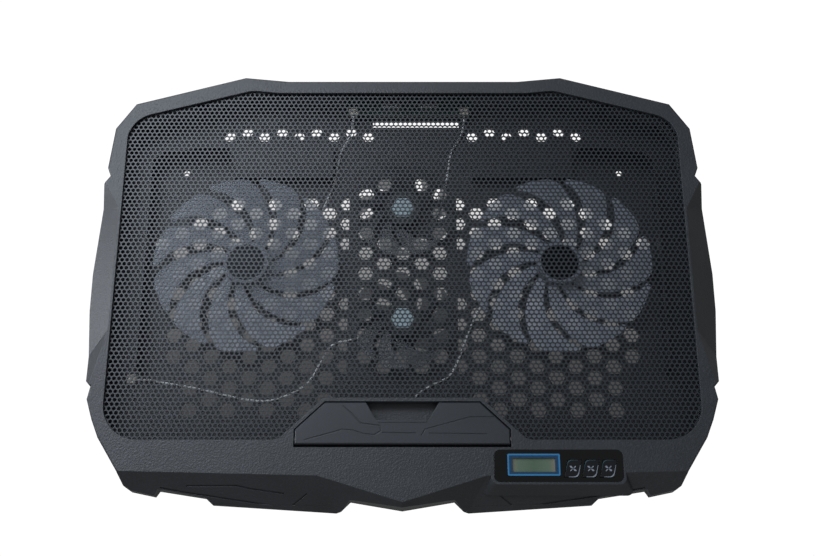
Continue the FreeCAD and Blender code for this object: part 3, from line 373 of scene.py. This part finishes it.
# Button caps in black ABS under a silk film.
BUTTON_FILM = Finish(
    "abs_button_film", "0b0d10", "11151b", drift=0.6, roughness=0.22, spread=0.05,
    grain=Grain.SPRAYED, grain_mm=0.6, relief_mm=0.01, edge_mm=0.25)
# Screen-printed inks on the button film; their glow is painted light, since printed ink gives no light of
# its own.
WHITE_INK_PAINTED_GLOW = Finish(
    "ink_screen_printed_white_painted_glow", "8d95a0", "59626e", drift=0.8, roughness=0.5, grain_mm=1.6, glow=0.1)
TEAL_INK_PAINTED_GLOW = Finish(
    "ink_screen_printed_teal_painted_glow", "2f5a62", "1f3f48", drift=0.8, roughness=0.5, grain_mm=1.6, glow=0.05)
# Nickel plated steel pins and socket shells.
PLATED_STEEL = Finish(
    "steel_nickel_plated", "b9b8b4", "cfcecb", drift=0.5, roughness=0.28, spread=0.08, metallic=1.0,
    grain=Grain.DRAWN, grain_mm=0.25, relief_mm=0.004)
# Zinc plated screws, darker and duller.
ZINC_STEEL = Finish(
    "steel_zinc_plated", "8a8d90", "6d7176", drift=0.8, roughness=0.36, spread=0.08, metallic=1.0,
    grain=Grain.DRAWN, grain_mm=0.3, relief_mm=0.005)
# Blackened magnet cup.
BLACKENED_STEEL = Finish(
    "steel_blackened", "1b1d20", "2b2e31", drift=0.6, roughness=0.3, spread=0.08, metallic=1.0,
    grain=Grain.DRAWN, grain_mm=0.4, relief_mm=0.004)
# Motor plates and switch bodies in black nylon.
BLACK_NYLON = Finish(
    "nylon_moulded_black", "17181a", "222427", drift=0.5, roughness=0.45, grain_mm=1.2, relief_mm=0.02)
# Soft moulded rubber, slightly dusty.
MOULDED_RUBBER = Finish(
    "rubber_moulded_black", "141414", "262523", drift=0.9, roughness=0.78, spread=0.08, ior=1.52,
    grain=Grain.SPARKED, grain_mm=1.2, relief_mm=0.06, edge_mm=0.4, sheen=0.1)
# Soft PVC sleeve of the leads.
LEAD_SLEEVE = Finish(
    "pvc_lead_sleeve", "f0f1f1", "d9dcde", drift=0.7, roughness=0.4, grain_mm=2.0, relief_mm=0.01)
# Nylon plug housings, natural colour.
NATURAL_NYLON = Finish(
    "nylon_plug_natural", "d9d6c8", "c6c2b0", drift=0.7, roughness=0.4,
    grain_mm=1.0, relief_mm=0.01, edge_mm=0.2)
# Pearl cap on the hubs of the small fans; its glow is painted light, since the cap gives no light of its
# own.
PEARL_CAP_PAINTED_GLOW = Finish(
    "polycarbonate_pearl_cap_painted_glow", "c9dde4", "a3c3cf", drift=0.9, roughness=0.3, spread=0.05, ior=1.58,
    grain_mm=1.5, relief_mm=0.01, edge_mm=0.3, coat=0.4, glow=0.08)
# Frosted polystyrene blades of the large fans: milky, so the honeycomb shows through dimly.
FROSTED_BLADE = Finish(
    "polystyrene_frosted", "c6ced9", "a9b4c4", drift=0.7, roughness=0.38, spread=0.06, ior=1.59,
    grain_mm=3.0, relief_mm=0.02, alpha=0.5)
# Smoked blades of the small fans.
SMOKED_BLADE = Finish(
    "polystyrene_smoked", "3d4246", "4b5054", drift=0.7, roughness=0.35, spread=0.06, ior=1.59,
    grain_mm=3.0, relief_mm=0.02, alpha=0.6)
# Fibreglass board under green solder mask.
SOLDER_MASK = Finish(
    "fibreglass_solder_mask_green", "17442f", "0f3324", drift=0.8, roughness=0.35, ior=1.55,
    grain=Grain.SPRAYED, grain_mm=0.6, relief_mm=0.01, coat=0.2)
# Stamped phosphor bronze contacts, gold flashed.
GOLD_FLASH = Finish(
    "bronze_gold_flashed", "d6a94e", "c29643", drift=0.6, roughness=0.25, spread=0.06, metallic=1.0,
    grain=Grain.DRAWN, grain_mm=0.2, relief_mm=0.002)


@dataclass(frozen=True)
class DisplayWindow:
    """Grey-green liquid crystal behind a hard-coated window, lit a little warmer at its ends.

    Attributes:
        name: common name of the material.
        stops: position along the window and colour there.
        glow: strength of the light behind it.
        roughness: roughness of the hard coat.
        ior: index of refraction of the window.
    """

    name: str = "liquid_crystal_behind_acrylic"
    stops: tuple[tuple[float, str], ...] = (
        (0.0, "6f6f60"), (0.12, "566557"), (0.5, "495b4b"), (0.88, "566557"), (1.0, "716c5e"))
    glow: float = 0.13
    roughness: float = 0.18
    ior: float = 1.49

    def build(self, low: Vector, high: Vector) -> bpy.types.Material:
        """Make the material.

        Args:
            low: lowest corner of the window.
            high: highest corner of the window.

        Returns:
            The window's material.
        """
        material = bpy.data.materials.new(self.name)
        material.use_nodes = True
        tree = material.node_tree
        shader = tree.nodes["Principled BSDF"]
        place = add_node(tree, "ShaderNodeTexCoord").outputs["Object"]
        split = add_node(tree, "ShaderNodeSeparateXYZ", None, {0: place})
        along = add_node(tree, "ShaderNodeMapRange", None, {
            "Value": split.outputs["X"], "From Min": low.x, "From Max": high.x})
        colours = add_node(tree, "ShaderNodeValToRGB", None, {0: along.outputs[0]})
        ramp(colours, [(position, linear(colour)) for position, colour in self.stops])
        tree.links.new(colours.outputs[0], shader.inputs["Base Color"])
        tree.links.new(colours.outputs[0], shader.inputs["Emission Color"])
        shader.inputs["Emission Strength"].default_value = self.glow
        shader.inputs["Roughness"].default_value = self.roughness
        shader.inputs["IOR"].default_value = self.ior
        return material


# ---------------------------------------------------------------- pieces
SLOT_FINISHES: dict[str, Finish] = {
    "textured_abs": TEXTURED_ABS,
    "black_painted_steel": COATED_STEEL,
    "bright_steel": PLATED_STEEL,
    "gloss_black": PIANO_BLACK,
    "blue_frame": BLUE_GUIDE,
    "display_body": BLACK_NYLON,
    "button_black": BUTTON_FILM,
    "switch_black": BLACK_NYLON,
    "circuit_board": SOLDER_MASK,
    "frosted_blade": FROSTED_BLADE,
    "smoked_blade": SMOKED_BLADE,
    "magnet_steel": BLACKENED_STEEL,
    "motor_black": BLACK_NYLON,
    "hub_badge": PEARL_CAP_PAINTED_GLOW,
    "screw_steel": ZINC_STEEL,
    "soft_rubber": MOULDED_RUBBER,
    "lead_sleeve": LEAD_SLEEVE,
    "plug_white": NATURAL_NYLON,
}
BUILT: dict[str, bpy.types.Material] = {}


def material_of(finish: Finish) -> bpy.types.Material:
    """Return the finish's material, made once."""
    if finish.name not in BUILT:
        BUILT[finish.name] = finish.build()
    return BUILT[finish.name]


def slot_of(node: str) -> str:
    """Return the material slot that the record gives a node."""
    return next(part["material_slot"] for part in frame["record"]["subparts"] if part["node"] == node)


def body_under(node: str) -> str:
    """Return the name of the body that carries a node."""
    return body_of(frame["nodes"][node])[0]


def dress(node: str, material: bpy.types.Material | None = None) -> None:
    """Give a CAD node its finish.

    Args:
        node: the node's name.
        material: a finish of its own, or the one of its slot.
    """
    mesh = frame["nodes"][node].data
    mesh.materials.clear()
    mesh.materials.append(material or material_of(SLOT_FINISHES[slot_of(node)]))


def attach(name: str, mesh: bpy.types.Mesh, finish: Finish, body: str) -> bpy.types.Object:
    """Make a piece of the object from a mesh.

    Args:
        name: the piece's name.
        mesh: its mesh, in the frame's own coordinates.
        finish: its surface.
        body: the body it rides on.

    Returns:
        The new object.
    """
    piece = bpy.data.objects.new(name, mesh)
    bpy.context.scene.collection.objects.link(piece)
    mesh.materials.append(material_of(finish))
    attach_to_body(piece, body)
    return piece


def closed_mesh(
    name: str, points: Sequence[tuple[float, float, float]], faces: Sequence[tuple[int, ...]]
) -> bpy.types.Mesh:
    """Make a mesh of closed solids, with its faces turned outwards.

    Args:
        name: the mesh's name.
        points: corners in metres.
        faces: indices of the corners of each face.

    Returns:
        The mesh, with its faces in the order given.
    """
    mesh = bpy.data.meshes.new(name)
    mesh.from_pydata(points, [], faces)
    work = bmesh.new()
    work.from_mesh(mesh)
    bmesh.ops.recalc_face_normals(work, faces=work.faces)
    work.to_mesh(mesh)
    work.free()
    return mesh


def prisms(name: str, outlines: Iterable[Sequence[Point]], low: float, high: float) -> bpy.types.Mesh:
    """Make upright solids from plan outlines.

    Args:
        name: the mesh's name.
        outlines: closed plan outlines in metres, one per solid.
        low: height of the lower face.
        high: height of the upper face.

    Returns:
        One mesh with all the solids.
    """
    points: list[tuple[float, float, float]] = []
    faces: list[tuple[int, ...]] = []
    for outline in outlines:
        count = len(outline)
        under = len(points)
        over = under + count
        points += [(x, y, z) for z in (low, high) for x, y in outline]
        faces += [tuple(range(under, over)), tuple(range(over, over + count))]
        for i in range(count):
            j = (i + 1) % count
            faces.append((under + i, under + j, over + j, over + i))
    return closed_mesh(name, points, faces)


def ring_points(
    centre: Point, radius: float, count: int, start: float = 0.0, sweep: float = 360.0
) -> list[Point]:
    """Return points round an arc.

    Args:
        centre: middle of the arc.
        radius: its radius.
        count: how many steps.
        start: first angle in degrees.
        sweep: angle covered in degrees.

    Returns:
        The points, with the last one left out of a full turn.
    """
    steps = count if abs(sweep) >= 360.0 else count + 1
    angles = [math.radians(start + sweep * i / count) for i in range(steps)]
    return [(centre[0] + radius * math.cos(a), centre[1] + radius * math.sin(a)) for a in angles]


def ribbon(path: Sequence[Point], width: float, ends: float) -> list[Point]:
    """Widen an open path into a closed outline that thins towards both ends.

    Args:
        path: points along the middle.
        width: full width half way along.
        ends: share of that width left at the ends.

    Returns:
        The outline of the stroke.
    """
    left: list[Point] = []
    right: list[Point] = []
    for i, (x, y) in enumerate(path):
        before = path[max(i - 1, 0)]
        after = path[min(i + 1, len(path) - 1)]
        thinning = 1 - (1 - ends) * abs(2 * i / (len(path) - 1) - 1)
        along = Vector((after[0] - before[0], after[1] - before[1])).normalized() * (width / 2 * thinning)
        left.append((x - along.y, y + along.x))
        right.append((x + along.y, y - along.x))
    return left + right[::-1]


def rounded_rectangle(low: Point, high: Point, radius: float, steps: int = 5) -> list[Point]:
    """Return the outline of a rectangle with round corners.

    Args:
        low: lowest x and y.
        high: highest x and y.
        radius: corner radius.
        steps: steps round one corner.

    Returns:
        Points, counter-clockwise from the front right corner.
    """
    centres = [
        (high[0] - radius, low[1] + radius), (high[0] - radius, high[1] - radius),
        (low[0] + radius, high[1] - radius), (low[0] + radius, low[1] + radius)]
    outline: list[Point] = []
    for turn, centre in zip((-90.0, 0.0, 90.0, 180.0), centres):
        outline += ring_points(centre, radius, steps, turn, 90.0)
    return outline


def band(
    name: str, outer: Sequence[Point], inner: Sequence[Point], low: float, high: float
) -> bpy.types.Mesh:
    """Make an upright ring between two outlines with the same number of points.

    Args:
        name: the mesh's name.
        outer: outer outline.
        inner: inner outline.
        low: height of the lower face.
        high: height of the upper face.

    Returns:
        The closed ring.
    """
    count = len(outer)
    points = [(x, y, z) for z in (low, high) for outline in (outer, inner) for x, y in outline]
    faces = []
    for i in range(count):
        j = (i + 1) % count
        for a, b in ((0, count), (count, 3 * count), (3 * count, 2 * count), (2 * count, 0)):
            faces.append((a + i, a + j, b + j, b + i))
    return closed_mesh(name, points, faces)


@dataclass
class Assembly:
    """A group of CAD nodes that get their finishes together.

    Attributes:
        nodes: names of the nodes.
    """

    nodes: tuple[str, ...] = ()

    def build(self) -> None:
        """Dress every node of the group."""
        for node in self.nodes:
            dress(node)


@dataclass
class Housing(Assembly):
    """Top frame, honeycomb tray, screws and feet."""

    nodes: tuple[str, ...] = ("top_frame", "bottom_shell", "case_screws", "rubber_feet")


@dataclass
class PerforatedPanel:
    """Steel panel with hexagonal holes on a close triangular lattice.

    Attributes:
        pitch_mm: distance between neighbouring holes.
        hole_mm: width of a hole across its flats.
        node: the CAD node it stands for.
    """

    pitch_mm: float = 3.23
    hole_mm: float = 2.42
    node: str = "mesh_panel"

    def cells(self) -> list[Point]:
        """Find the lattice points that lie on the panel.

        Returns:
            Centres of the cells in metres.
        """
        low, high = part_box(self.node)
        tree = BVHTree.FromObject(frame["nodes"][self.node], bpy.context.evaluated_depsgraph_get())
        pitch = self.pitch_mm * MM
        row_step = pitch * SQRT3 / 2
        first_row = math.ceil(low.y / row_step)
        centres = []
        for row in range(first_row, math.floor(high.y / row_step) + 1):
            shift = pitch / 2 if row % 2 else 0.0
            first = math.ceil((low.x - shift) / pitch)
            for column in range(first, math.floor((high.x - shift) / pitch) + 1):
                x, y = column * pitch + shift, row * row_step
                if tree.ray_cast((x, y, high.z + MM), (0.0, 0.0, -1.0))[0] is not None:
                    centres.append((x, y))
        return centres

    def half(self, name: str, centres: Sequence[Point]) -> bpy.types.Object:
        """Build the steel round a set of holes.

        Args:
            name: name of the piece.
            centres: centres of its cells.

        Returns:
            The piece.
        """
        low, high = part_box(self.node)
        heights = (high.z, low.z)
        reach = self.pitch_mm * MM / SQRT3
        hole = self.hole_mm * MM / SQRT3
        points: list[tuple[float, float, float]] = []
        faces: list[tuple[int, ...]] = []
        known: dict[tuple[int, int, int], int] = {}
        rim: dict[tuple[int, int], tuple[int, int] | None] = {}

        def corner(x: float, y: float, level: int) -> int:
            """Return the shared index of a cell corner."""
            key = (round(x / WELD), round(y / WELD), level)
            if key not in known:
                known[key] = len(points)
                points.append((x, y, heights[level]))
            return known[key]

        for centre in centres:
            around = ring_points(centre, reach, 6, 30.0)
            inside = ring_points(centre, hole, 6, 30.0)
            outer = [[corner(x, y, level) for x, y in around] for level in (0, 1)]
            inner = []
            for level in (0, 1):
                inner.append(list(range(len(points), len(points) + 6)))
                points.extend((x, y, heights[level]) for x, y in inside)
            for i in range(6):
                j = (i + 1) % 6
                faces.append((outer[0][i], outer[0][j], inner[0][j], inner[0][i]))
                faces.append((outer[1][j], outer[1][i], inner[1][i], inner[1][j]))
                faces.append((inner[0][i], inner[0][j], inner[1][j], inner[1][i]))
                edge = (outer[0][i], outer[0][j])
                key = (min(edge), max(edge))
                rim[key] = None if key in rim else edge
        under = {known[(x, y, 0)]: known[(x, y, 1)] for x, y, level in known if level == 0}
        for edge in rim.values():
            if edge is not None:
                start, stop = edge
                faces.append((stop, start, under[start], under[stop]))
        mesh = bpy.data.meshes.new(name)
        mesh.from_pydata(points, [], faces)
        return attach(name, mesh, COATED_STEEL, body_under(self.node))

    def build(self) -> None:
        """Build the panel as a left and a right half that meet on a row of webs."""
        centres = self.cells()
        sides = {
            "perforated_panel_left": [c for c in centres if c[0] < 0],
            "perforated_panel_right": [c for c in centres if c[0] >= 0],
        }
        for name, side in sides.items():
            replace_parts(self.half(name, side), self.node)
        LOG.info("perforated panel: %d holes", len(centres))


@dataclass
class StopperBaffle(Assembly):
    """The flip-up stopper and its hinge pins.

    Attributes:
        lip_mm: length, width and height of the lip at the finger notch.
        lip_corner_mm: its corner radius.
        notch_y_mm: front edge of the notch.
    """

    nodes: tuple[str, ...] = ("baffle_hinge_pins",)
    lip_mm: tuple[float, float, float] = (30.6, 1.5, 0.25)
    lip_corner_mm: float = 0.4
    notch_y_mm: float = -94.7

    def lip(self) -> None:
        """Lay the thin moulded lip along the front edge of the finger notch."""
        length, width, height = (size * MM for size in self.lip_mm)
        rear = self.notch_y_mm * MM
        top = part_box("stopper_baffle")[1].z
        outline = rounded_rectangle(
            (-length / 2, rear - width), (length / 2, rear), self.lip_corner_mm * MM)
        mesh = prisms("baffle_notch_lip", [outline], top, top + height)
        attach("baffle_notch_lip", mesh, SATIN_ABS, body_under("stopper_baffle"))

    def build(self) -> None:
        """Dress the leaf in its finer texture, and the pins."""
        super().build()
        dress("stopper_baffle", material_of(SATIN_ABS))
        self.lip()


# Outline of one petal of the buttons' symbol, in shares of its length and half width.
PETAL = [(0.12, 0.2), (0.6, 0.75), (0.95, 0.55), (1.0, -0.1), (0.7, -0.8), (0.12, -0.2)]


@dataclass
class ButtonPrint:
    """Printed outline and impeller symbol on one button cap.

    Attributes:
        node: the cap's node.
        inset_mm: distance of the outline from the cap's edge.
        stroke_mm: width of the white and of the teal line, half way along.
        stroke_ends: share of the width left at the ends of a line.
        white_ends: where the white line starts and stops, as shares of the front and right sides.
        teal_ends: where the teal line starts and stops, as shares of the rear and left sides.
        corner_mm: how far from a corner its bend begins.
        bend_steps: steps round a bend.
        petal_mm: length of a petal of the symbol.
        petal_turns: where the petals point and the half width of each, in degrees and mm.
        ink_mm: thickness of the ink.
    """

    node: str
    inset_mm: float = 0.1
    stroke_mm: tuple[float, float] = (0.85, 0.45)
    stroke_ends: float = 0.35
    white_ends: tuple[float, float] = (0.3, 0.7)
    teal_ends: tuple[float, float] = (0.25, 0.6)
    corner_mm: float = 2.6
    bend_steps: int = 6
    petal_mm: float = 2.5
    petal_turns: tuple[tuple[float, float], ...] = ((40.0, 0.45), (140.0, 0.8), (220.0, 0.45), (320.0, 0.8))
    ink_mm: float = 0.02

    def corners(self) -> list[Vector]:
        """Return the corners of the outline, counter-clockwise from front left."""
        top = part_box(self.node)[1].z
        points = [v.co for v in frame["nodes"][self.node].data.vertices if top - v.co.z < WELD]
        front = min(point.y for point in points)
        rear = max(point.y for point in points)
        front_xs = [point.x for point in points if point.y - front < WELD]
        rear_xs = [point.x for point in points if rear - point.y < WELD]
        inset = self.inset_mm * MM
        return [
            Vector((min(front_xs) + inset, front + inset)), Vector((max(front_xs) - inset, front + inset)),
            Vector((max(rear_xs) - inset, rear - inset)), Vector((min(rear_xs) + inset, rear - inset)),
        ]

    def rounded(self, index: int) -> list[Point]:
        """Return the points that round one corner.

        Args:
            index: which corner.

        Returns:
            Points along a smooth bend through it.
        """
        corners = self.corners()
        here = corners[index]
        before = here + (corners[index - 1] - here).normalized() * self.corner_mm * MM
        after = here + (corners[(index + 1) % 4] - here).normalized() * self.corner_mm * MM
        bend = []
        for step in range(self.bend_steps + 1):
            t = step / self.bend_steps
            point = before * (1 - t) ** 2 + here * (2 * t * (1 - t)) + after * t ** 2
            bend.append((point.x, point.y))
        return bend

    def strokes(self) -> dict[str, list[list[Point]]]:
        """Return the white strokes with the symbol, and the teal stroke."""
        front_left, front_right, rear_right, rear_left = self.corners()
        white_width, teal_width = (width * MM for width in self.stroke_mm)
        white_line = [tuple(front_left.lerp(front_right, self.white_ends[0]))] + self.rounded(1) + [
            tuple(front_right.lerp(rear_right, self.white_ends[1]))]
        teal_line = [tuple(rear_right.lerp(rear_left, self.teal_ends[0]))] + self.rounded(3) + [
            tuple(rear_left.lerp(front_left, self.teal_ends[1]))]
        return {
            "white": [ribbon(white_line, white_width, self.stroke_ends)] + self.symbol(),
            "teal": [ribbon(teal_line, teal_width, self.stroke_ends)],
        }

    def symbol(self) -> list[list[Point]]:
        """Return the petals of the symbol in the middle of the cap."""
        corners = self.corners()
        middle = (corners[0] + corners[2]) / 2
        length = self.petal_mm * MM
        petals = []
        for turn, half_width in self.petal_turns:
            along = Vector((math.cos(math.radians(turn)), math.sin(math.radians(turn))))
            across = Vector((-along.y, along.x))
            petals.append([
                tuple(middle + along * (a * length) + across * (b * half_width * MM)) for a, b in PETAL])
        return petals

    def build(self) -> None:
        """Lay the ink on the cap."""
        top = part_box(self.node)[1].z
        for (label, outlines), finish in zip(self.strokes().items(), (WHITE_INK_PAINTED_GLOW, TEAL_INK_PAINTED_GLOW)):
            mesh = prisms(f"{self.node}_{label}_ink", outlines, top, top + self.ink_mm * MM)
            attach(f"{self.node}_{label}_ink", mesh, finish, body_under(self.node))


@dataclass
class ControlPanel(Assembly):
    """Gloss cover with the display and three printed buttons.

    Attributes:
        prints: what is printed on each button.
        border_mm: outer and inner distance of the painted highlight band from the display frame's edge.
        border_corners_mm: outer and inner corner radius of the border.
        border_height_mm: how far the border stands out.
    """

    nodes: tuple[str, ...] = (
        "panel_bezel", "display_frame", "display_module", "tact_switches", "control_board",
        "power_button", "fan_mode_button", "fan_speed_button")
    prints: tuple[ButtonPrint, ...] = (
        ButtonPrint("power_button"), ButtonPrint("fan_mode_button"), ButtonPrint("fan_speed_button"))
    border_mm: tuple[float, float] = (0.12, 1.1)
    border_corners_mm: tuple[float, float] = (0.9, 0.4)
    border_height_mm: float = 0.05

    def border(self) -> None:
        """Lay the painted highlight band along the outer edge of the display frame."""
        low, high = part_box("display_frame")
        outer, inner = (
            rounded_rectangle(
                (low.x + inset * MM, low.y + inset * MM),
                (high.x - inset * MM, high.y - inset * MM), radius * MM)
            for inset, radius in zip(self.border_mm, self.border_corners_mm))
        mesh = band("display_painted_edge_highlight", outer, inner, high.z, high.z + self.border_height_mm * MM)
        attach("display_painted_edge_highlight", mesh, PAINTED_EDGE_HIGHLIGHT, body_under("display_frame"))

    def build(self) -> None:
        """Dress the panel, light the window and print the buttons."""
        super().build()
        dress("display_glass", DisplayWindow().build(*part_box("display_glass")))
        self.border()
        for button in self.prints:
            button.build()


@dataclass
class Fan(Assembly):
    """One fan: impeller, magnet cup, shaft and motor plate.

    Attributes:
        name: which fan.
        badge: whether its hub carries a cap.
    """

    name: str = ""
    badge: bool = False

    def build(self) -> None:
        """Dress the fan's nodes."""
        parts = ("impeller", "magnet_cup", "shaft", "motor_base")
        self.nodes = tuple(f"{self.name}_{part}" for part in parts)
        if self.badge:
            self.nodes += (f"{self.name}_badge",)
        super().build()


@dataclass
class RearLegs(Assembly):
    """The two folding legs, their pads and pins."""

    nodes: tuple[str, ...] = ("left_leg", "right_leg", "left_leg_pad", "right_leg_pad", "leg_pivot_pins")


@dataclass
class UsbSockets(Assembly):
    """Inlet and outlet sockets on their board.

    Attributes:
        contact_mm: width, length and thickness of a contact.
        contact_pitch_mm: distance between neighbouring contacts.
        contact_setback_mm: contacts behind the tongue's mouth.
        count: contacts in each socket.
    """

    nodes: tuple[str, ...] = ("usb_board", "usb_inlet_shell", "usb_outlet_shell", "usb_tongues")
    contact_mm: tuple[float, float, float] = (1.0, 7.0, 0.12)
    contact_pitch_mm: float = 2.4
    contact_setback_mm: float = 1.0
    count: int = 4

    def build(self) -> None:
        """Dress the sockets and lay the contacts on their tongues."""
        super().build()
        low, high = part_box("usb_tongues")
        width, length, thickness = (size * MM for size in self.contact_mm)
        near, far = high.y - length, high.y - self.contact_setback_mm * MM
        outlines = []
        for shell in ("usb_inlet_shell", "usb_outlet_shell"):
            left, right = (corner.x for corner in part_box(shell))
            for i in range(self.count):
                x = (left + right) / 2 + (i - (self.count - 1) / 2) * self.contact_pitch_mm * MM
                outlines.append([
                    (x - width / 2, near), (x + width / 2, near),
                    (x + width / 2, far), (x - width / 2, far)])
        mesh = prisms("usb_contacts", outlines, low.z - thickness, low.z)
        attach("usb_contacts", mesh, GOLD_FLASH, body_under("usb_tongues"))


@dataclass
class InternalLeads(Assembly):
    """Leads from the fans to the boards, with their plugs."""

    nodes: tuple[str, ...] = (
        "left_fan_lead", "rear_fan_lead", "right_fan_lead", "front_fan_lead", "lead_plugs", "fan_screws")


# ---------------------------------------------------------------- studio
@dataclass(frozen=True)
class SoftBox:
    """A large area light.

    Attributes:
        name: its name.
        place: where it hangs.
        aim: what it points at.
        size: width and height.
        power: watts.
        tint: sRGB hex of its light.
    """

    name: str
    place: tuple[float, float, float]
    aim: tuple[float, float, float]
    size: tuple[float, float]
    power: float
    tint: str = "ffffff"

    def build(self) -> None:
        """Hang the light."""
        lamp = bpy.data.lights.new(self.name, "AREA")
        lamp.shape = "RECTANGLE"
        lamp.size, lamp.size_y = self.size
        lamp.energy = self.power
        lamp.color = linear(self.tint)[:3]
        holder = bpy.data.objects.new(self.name, lamp)
        bpy.context.scene.collection.objects.link(holder)
        holder.location = self.place
        direction = Vector(self.aim) - Vector(self.place)
        holder.rotation_euler = direction.to_track_quat("-Z", "Y").to_euler()
        holder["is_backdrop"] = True


@dataclass
class Studio:
    """Pale floor with a sheet of painted shade under the object, soft light and the camera.

    Attributes:
        lens_mm: focal length.
        target_mm: point the camera looks at.
        offset_mm: camera position from that point.
        floor_size: side of the floor.
        floor_drops: how far the white floor and its sheet of painted shade lie below the table plane.
        shade: brightness of the painted shade along its depth, front to rear: a darker glowing sheet under
            the object stands in for its shadow.
        shade_inset: edge of the painted-shade sheet inside the object's box.
        shade_cut: how much of its front corners is cut off.
        lights: the soft lights.
        world_strength: brightness of the surroundings.
    """

    lens_mm: float = 51.3
    target_mm: tuple[float, float, float] = (3.2, 1.1, 25.5)
    offset_mm: tuple[float, float, float] = (0.0, -262.7, 717.9)
    floor_size: float = 12.0
    floor_drops: tuple[float, float] = (0.0002, 0.0001)
    shade: tuple[tuple[float, float], ...] = (
        (0.0, 0.04), (0.35, 0.07), (0.6, 0.3), (0.75, 0.9), (1.0, 1.1))
    shade_inset: float = 0.02
    shade_cut: float = 0.05
    lights: tuple[SoftBox, ...] = (
        SoftBox("key_softbox", (-0.52, 0.64, 0.94), (-0.08, 0.0, 0.0), (0.75, 0.8), 11.0, "e6effb"),
        SoftBox("left_strip", (-0.80, 0.12, 0.30), (-0.2, 0.0, 0.0), (0.3, 0.9), 4.5, "eef3fb"),
        SoftBox("front_fill", (0.25, -1.15, 1.5), (0.0, 0.0, 0.0), (1.1, 0.9), 3.0, "f4f7fc"),
    )
    world_strength: float = 0.22

    def camera(self) -> None:
        """Place the camera."""
        lens = bpy.data.cameras.new("main_camera")
        lens.lens = self.lens_mm
        lens.sensor_width = SENSOR_MM
        lens.clip_start = 0.01
        holder = bpy.data.objects.new("main_camera", lens)
        bpy.context.scene.collection.objects.link(holder)
        offset = Vector(self.offset_mm) * MM
        holder.location = Vector(self.target_mm) * MM + offset
        holder.rotation_euler = (-offset).to_track_quat("-Z", "Y").to_euler()
        bpy.context.scene.camera = holder
        holder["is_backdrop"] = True

    def glowing(self, name: str, strength: float, painted_shade: bool) -> bpy.types.Material:
        """Make the glowing paper of the floor, or of the painted shade under the object.

        Args:
            name: the material's name.
            strength: brightness of the paper.
            painted_shade: whether its glow falls off towards the front, as painted shade under the object.

        Returns:
            A flat white material that glows evenly, or that dims towards the front as painted shade.
        """
        material = bpy.data.materials.new(name)
        material.use_nodes = True
        tree = material.node_tree
        shader = tree.nodes["Principled BSDF"]
        shader.inputs["Base Color"].default_value = grey(0.0)
        shader.inputs["Specular IOR Level"].default_value = 0.0
        shader.inputs["Emission Color"].default_value = grey(1.0)
        shader.inputs["Emission Strength"].default_value = strength
        # Painted shade: the glow dims towards the front of the object's box, standing in for the shadow
        # under the object.
        if painted_shade:
            low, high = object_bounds()
            place = add_node(tree, "ShaderNodeTexCoord").outputs["Object"]
            split = add_node(tree, "ShaderNodeSeparateXYZ", None, {0: place})
            back = add_node(tree, "ShaderNodeMapRange", None, {
                "Value": split.outputs["Y"], "From Min": low.y, "From Max": high.y})
            fall = add_node(tree, "ShaderNodeValToRGB", None, {0: back.outputs[0]})
            ramp(fall, [(position, grey(value)) for position, value in self.shade])
            tree.links.new(fall.outputs[0], shader.inputs["Emission Color"])
        return material

    def sheet(self, name: str, corners: Sequence[Point], z: float, material: bpy.types.Material) -> None:
        """Lay one sheet of floor that the light passes by.

        Args:
            name: its name.
            corners: its plan outline.
            z: its height.
            material: its paper.
        """
        mesh = bpy.data.meshes.new(name)
        mesh.from_pydata([(x, y, z) for x, y in corners], [], [tuple(range(len(corners)))])
        mesh.materials.append(material)
        piece = bpy.data.objects.new(name, mesh)
        bpy.context.scene.collection.objects.link(piece)
        piece.visible_diffuse = False
        piece.visible_glossy = False
        piece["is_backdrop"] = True

    def build(self) -> None:
        """Set up the floor, the light and the camera."""
        scene = bpy.context.scene
        scene.view_settings.view_transform = "Standard"
        world = bpy.data.worlds.new("studio")
        world.use_nodes = True
        background = world.node_tree.nodes["Background"]
        background.inputs["Color"].default_value = grey(1.0)
        background.inputs["Strength"].default_value = self.world_strength
        scene.world = world
        half = self.floor_size / 2
        square = [(-half, -half), (half, -half), (half, half), (-half, half)]
        white_drop, shade_drop = self.floor_drops
        self.sheet("floor", square, -white_drop, self.glowing("paper_white", 1.05, False))
        # Under the object lies a second, darker glowing sheet: painted shade where its shadow falls on the
        # floor.
        low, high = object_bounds()
        left, right = low.x + self.shade_inset, high.x - self.shade_inset
        front, rear = low.y + self.shade_inset, high.y - self.shade_inset
        cut = self.shade_cut
        under = [
            (left + cut, front), (right - cut, front), (right, front + cut),
            (right, rear), (left, rear), (left, front + cut)]
        self.sheet("floor_painted_shade", under, -shade_drop, self.glowing("paper_painted_shade", 1.0, True))
        for light in self.lights:
            light.build()
        self.camera()


def main() -> None:
    """Build every sub-assembly in order, then the studio."""
    logging.basicConfig(level=logging.INFO, format="%(message)s")
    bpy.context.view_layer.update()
    assemblies = [
        Housing(), PerforatedPanel(), StopperBaffle(), ControlPanel(),
        Fan(name="left_fan"), Fan(name="right_fan"),
        Fan(name="rear_fan", badge=True), Fan(name="front_fan", badge=True),
        RearLegs(), UsbSockets(), InternalLeads(),
    ]
    for assembly in assemblies:
        assembly.build()
        LOG.info("built %s", type(assembly).__name__)
    Studio().build()


if __name__ == "__main__":
    main()
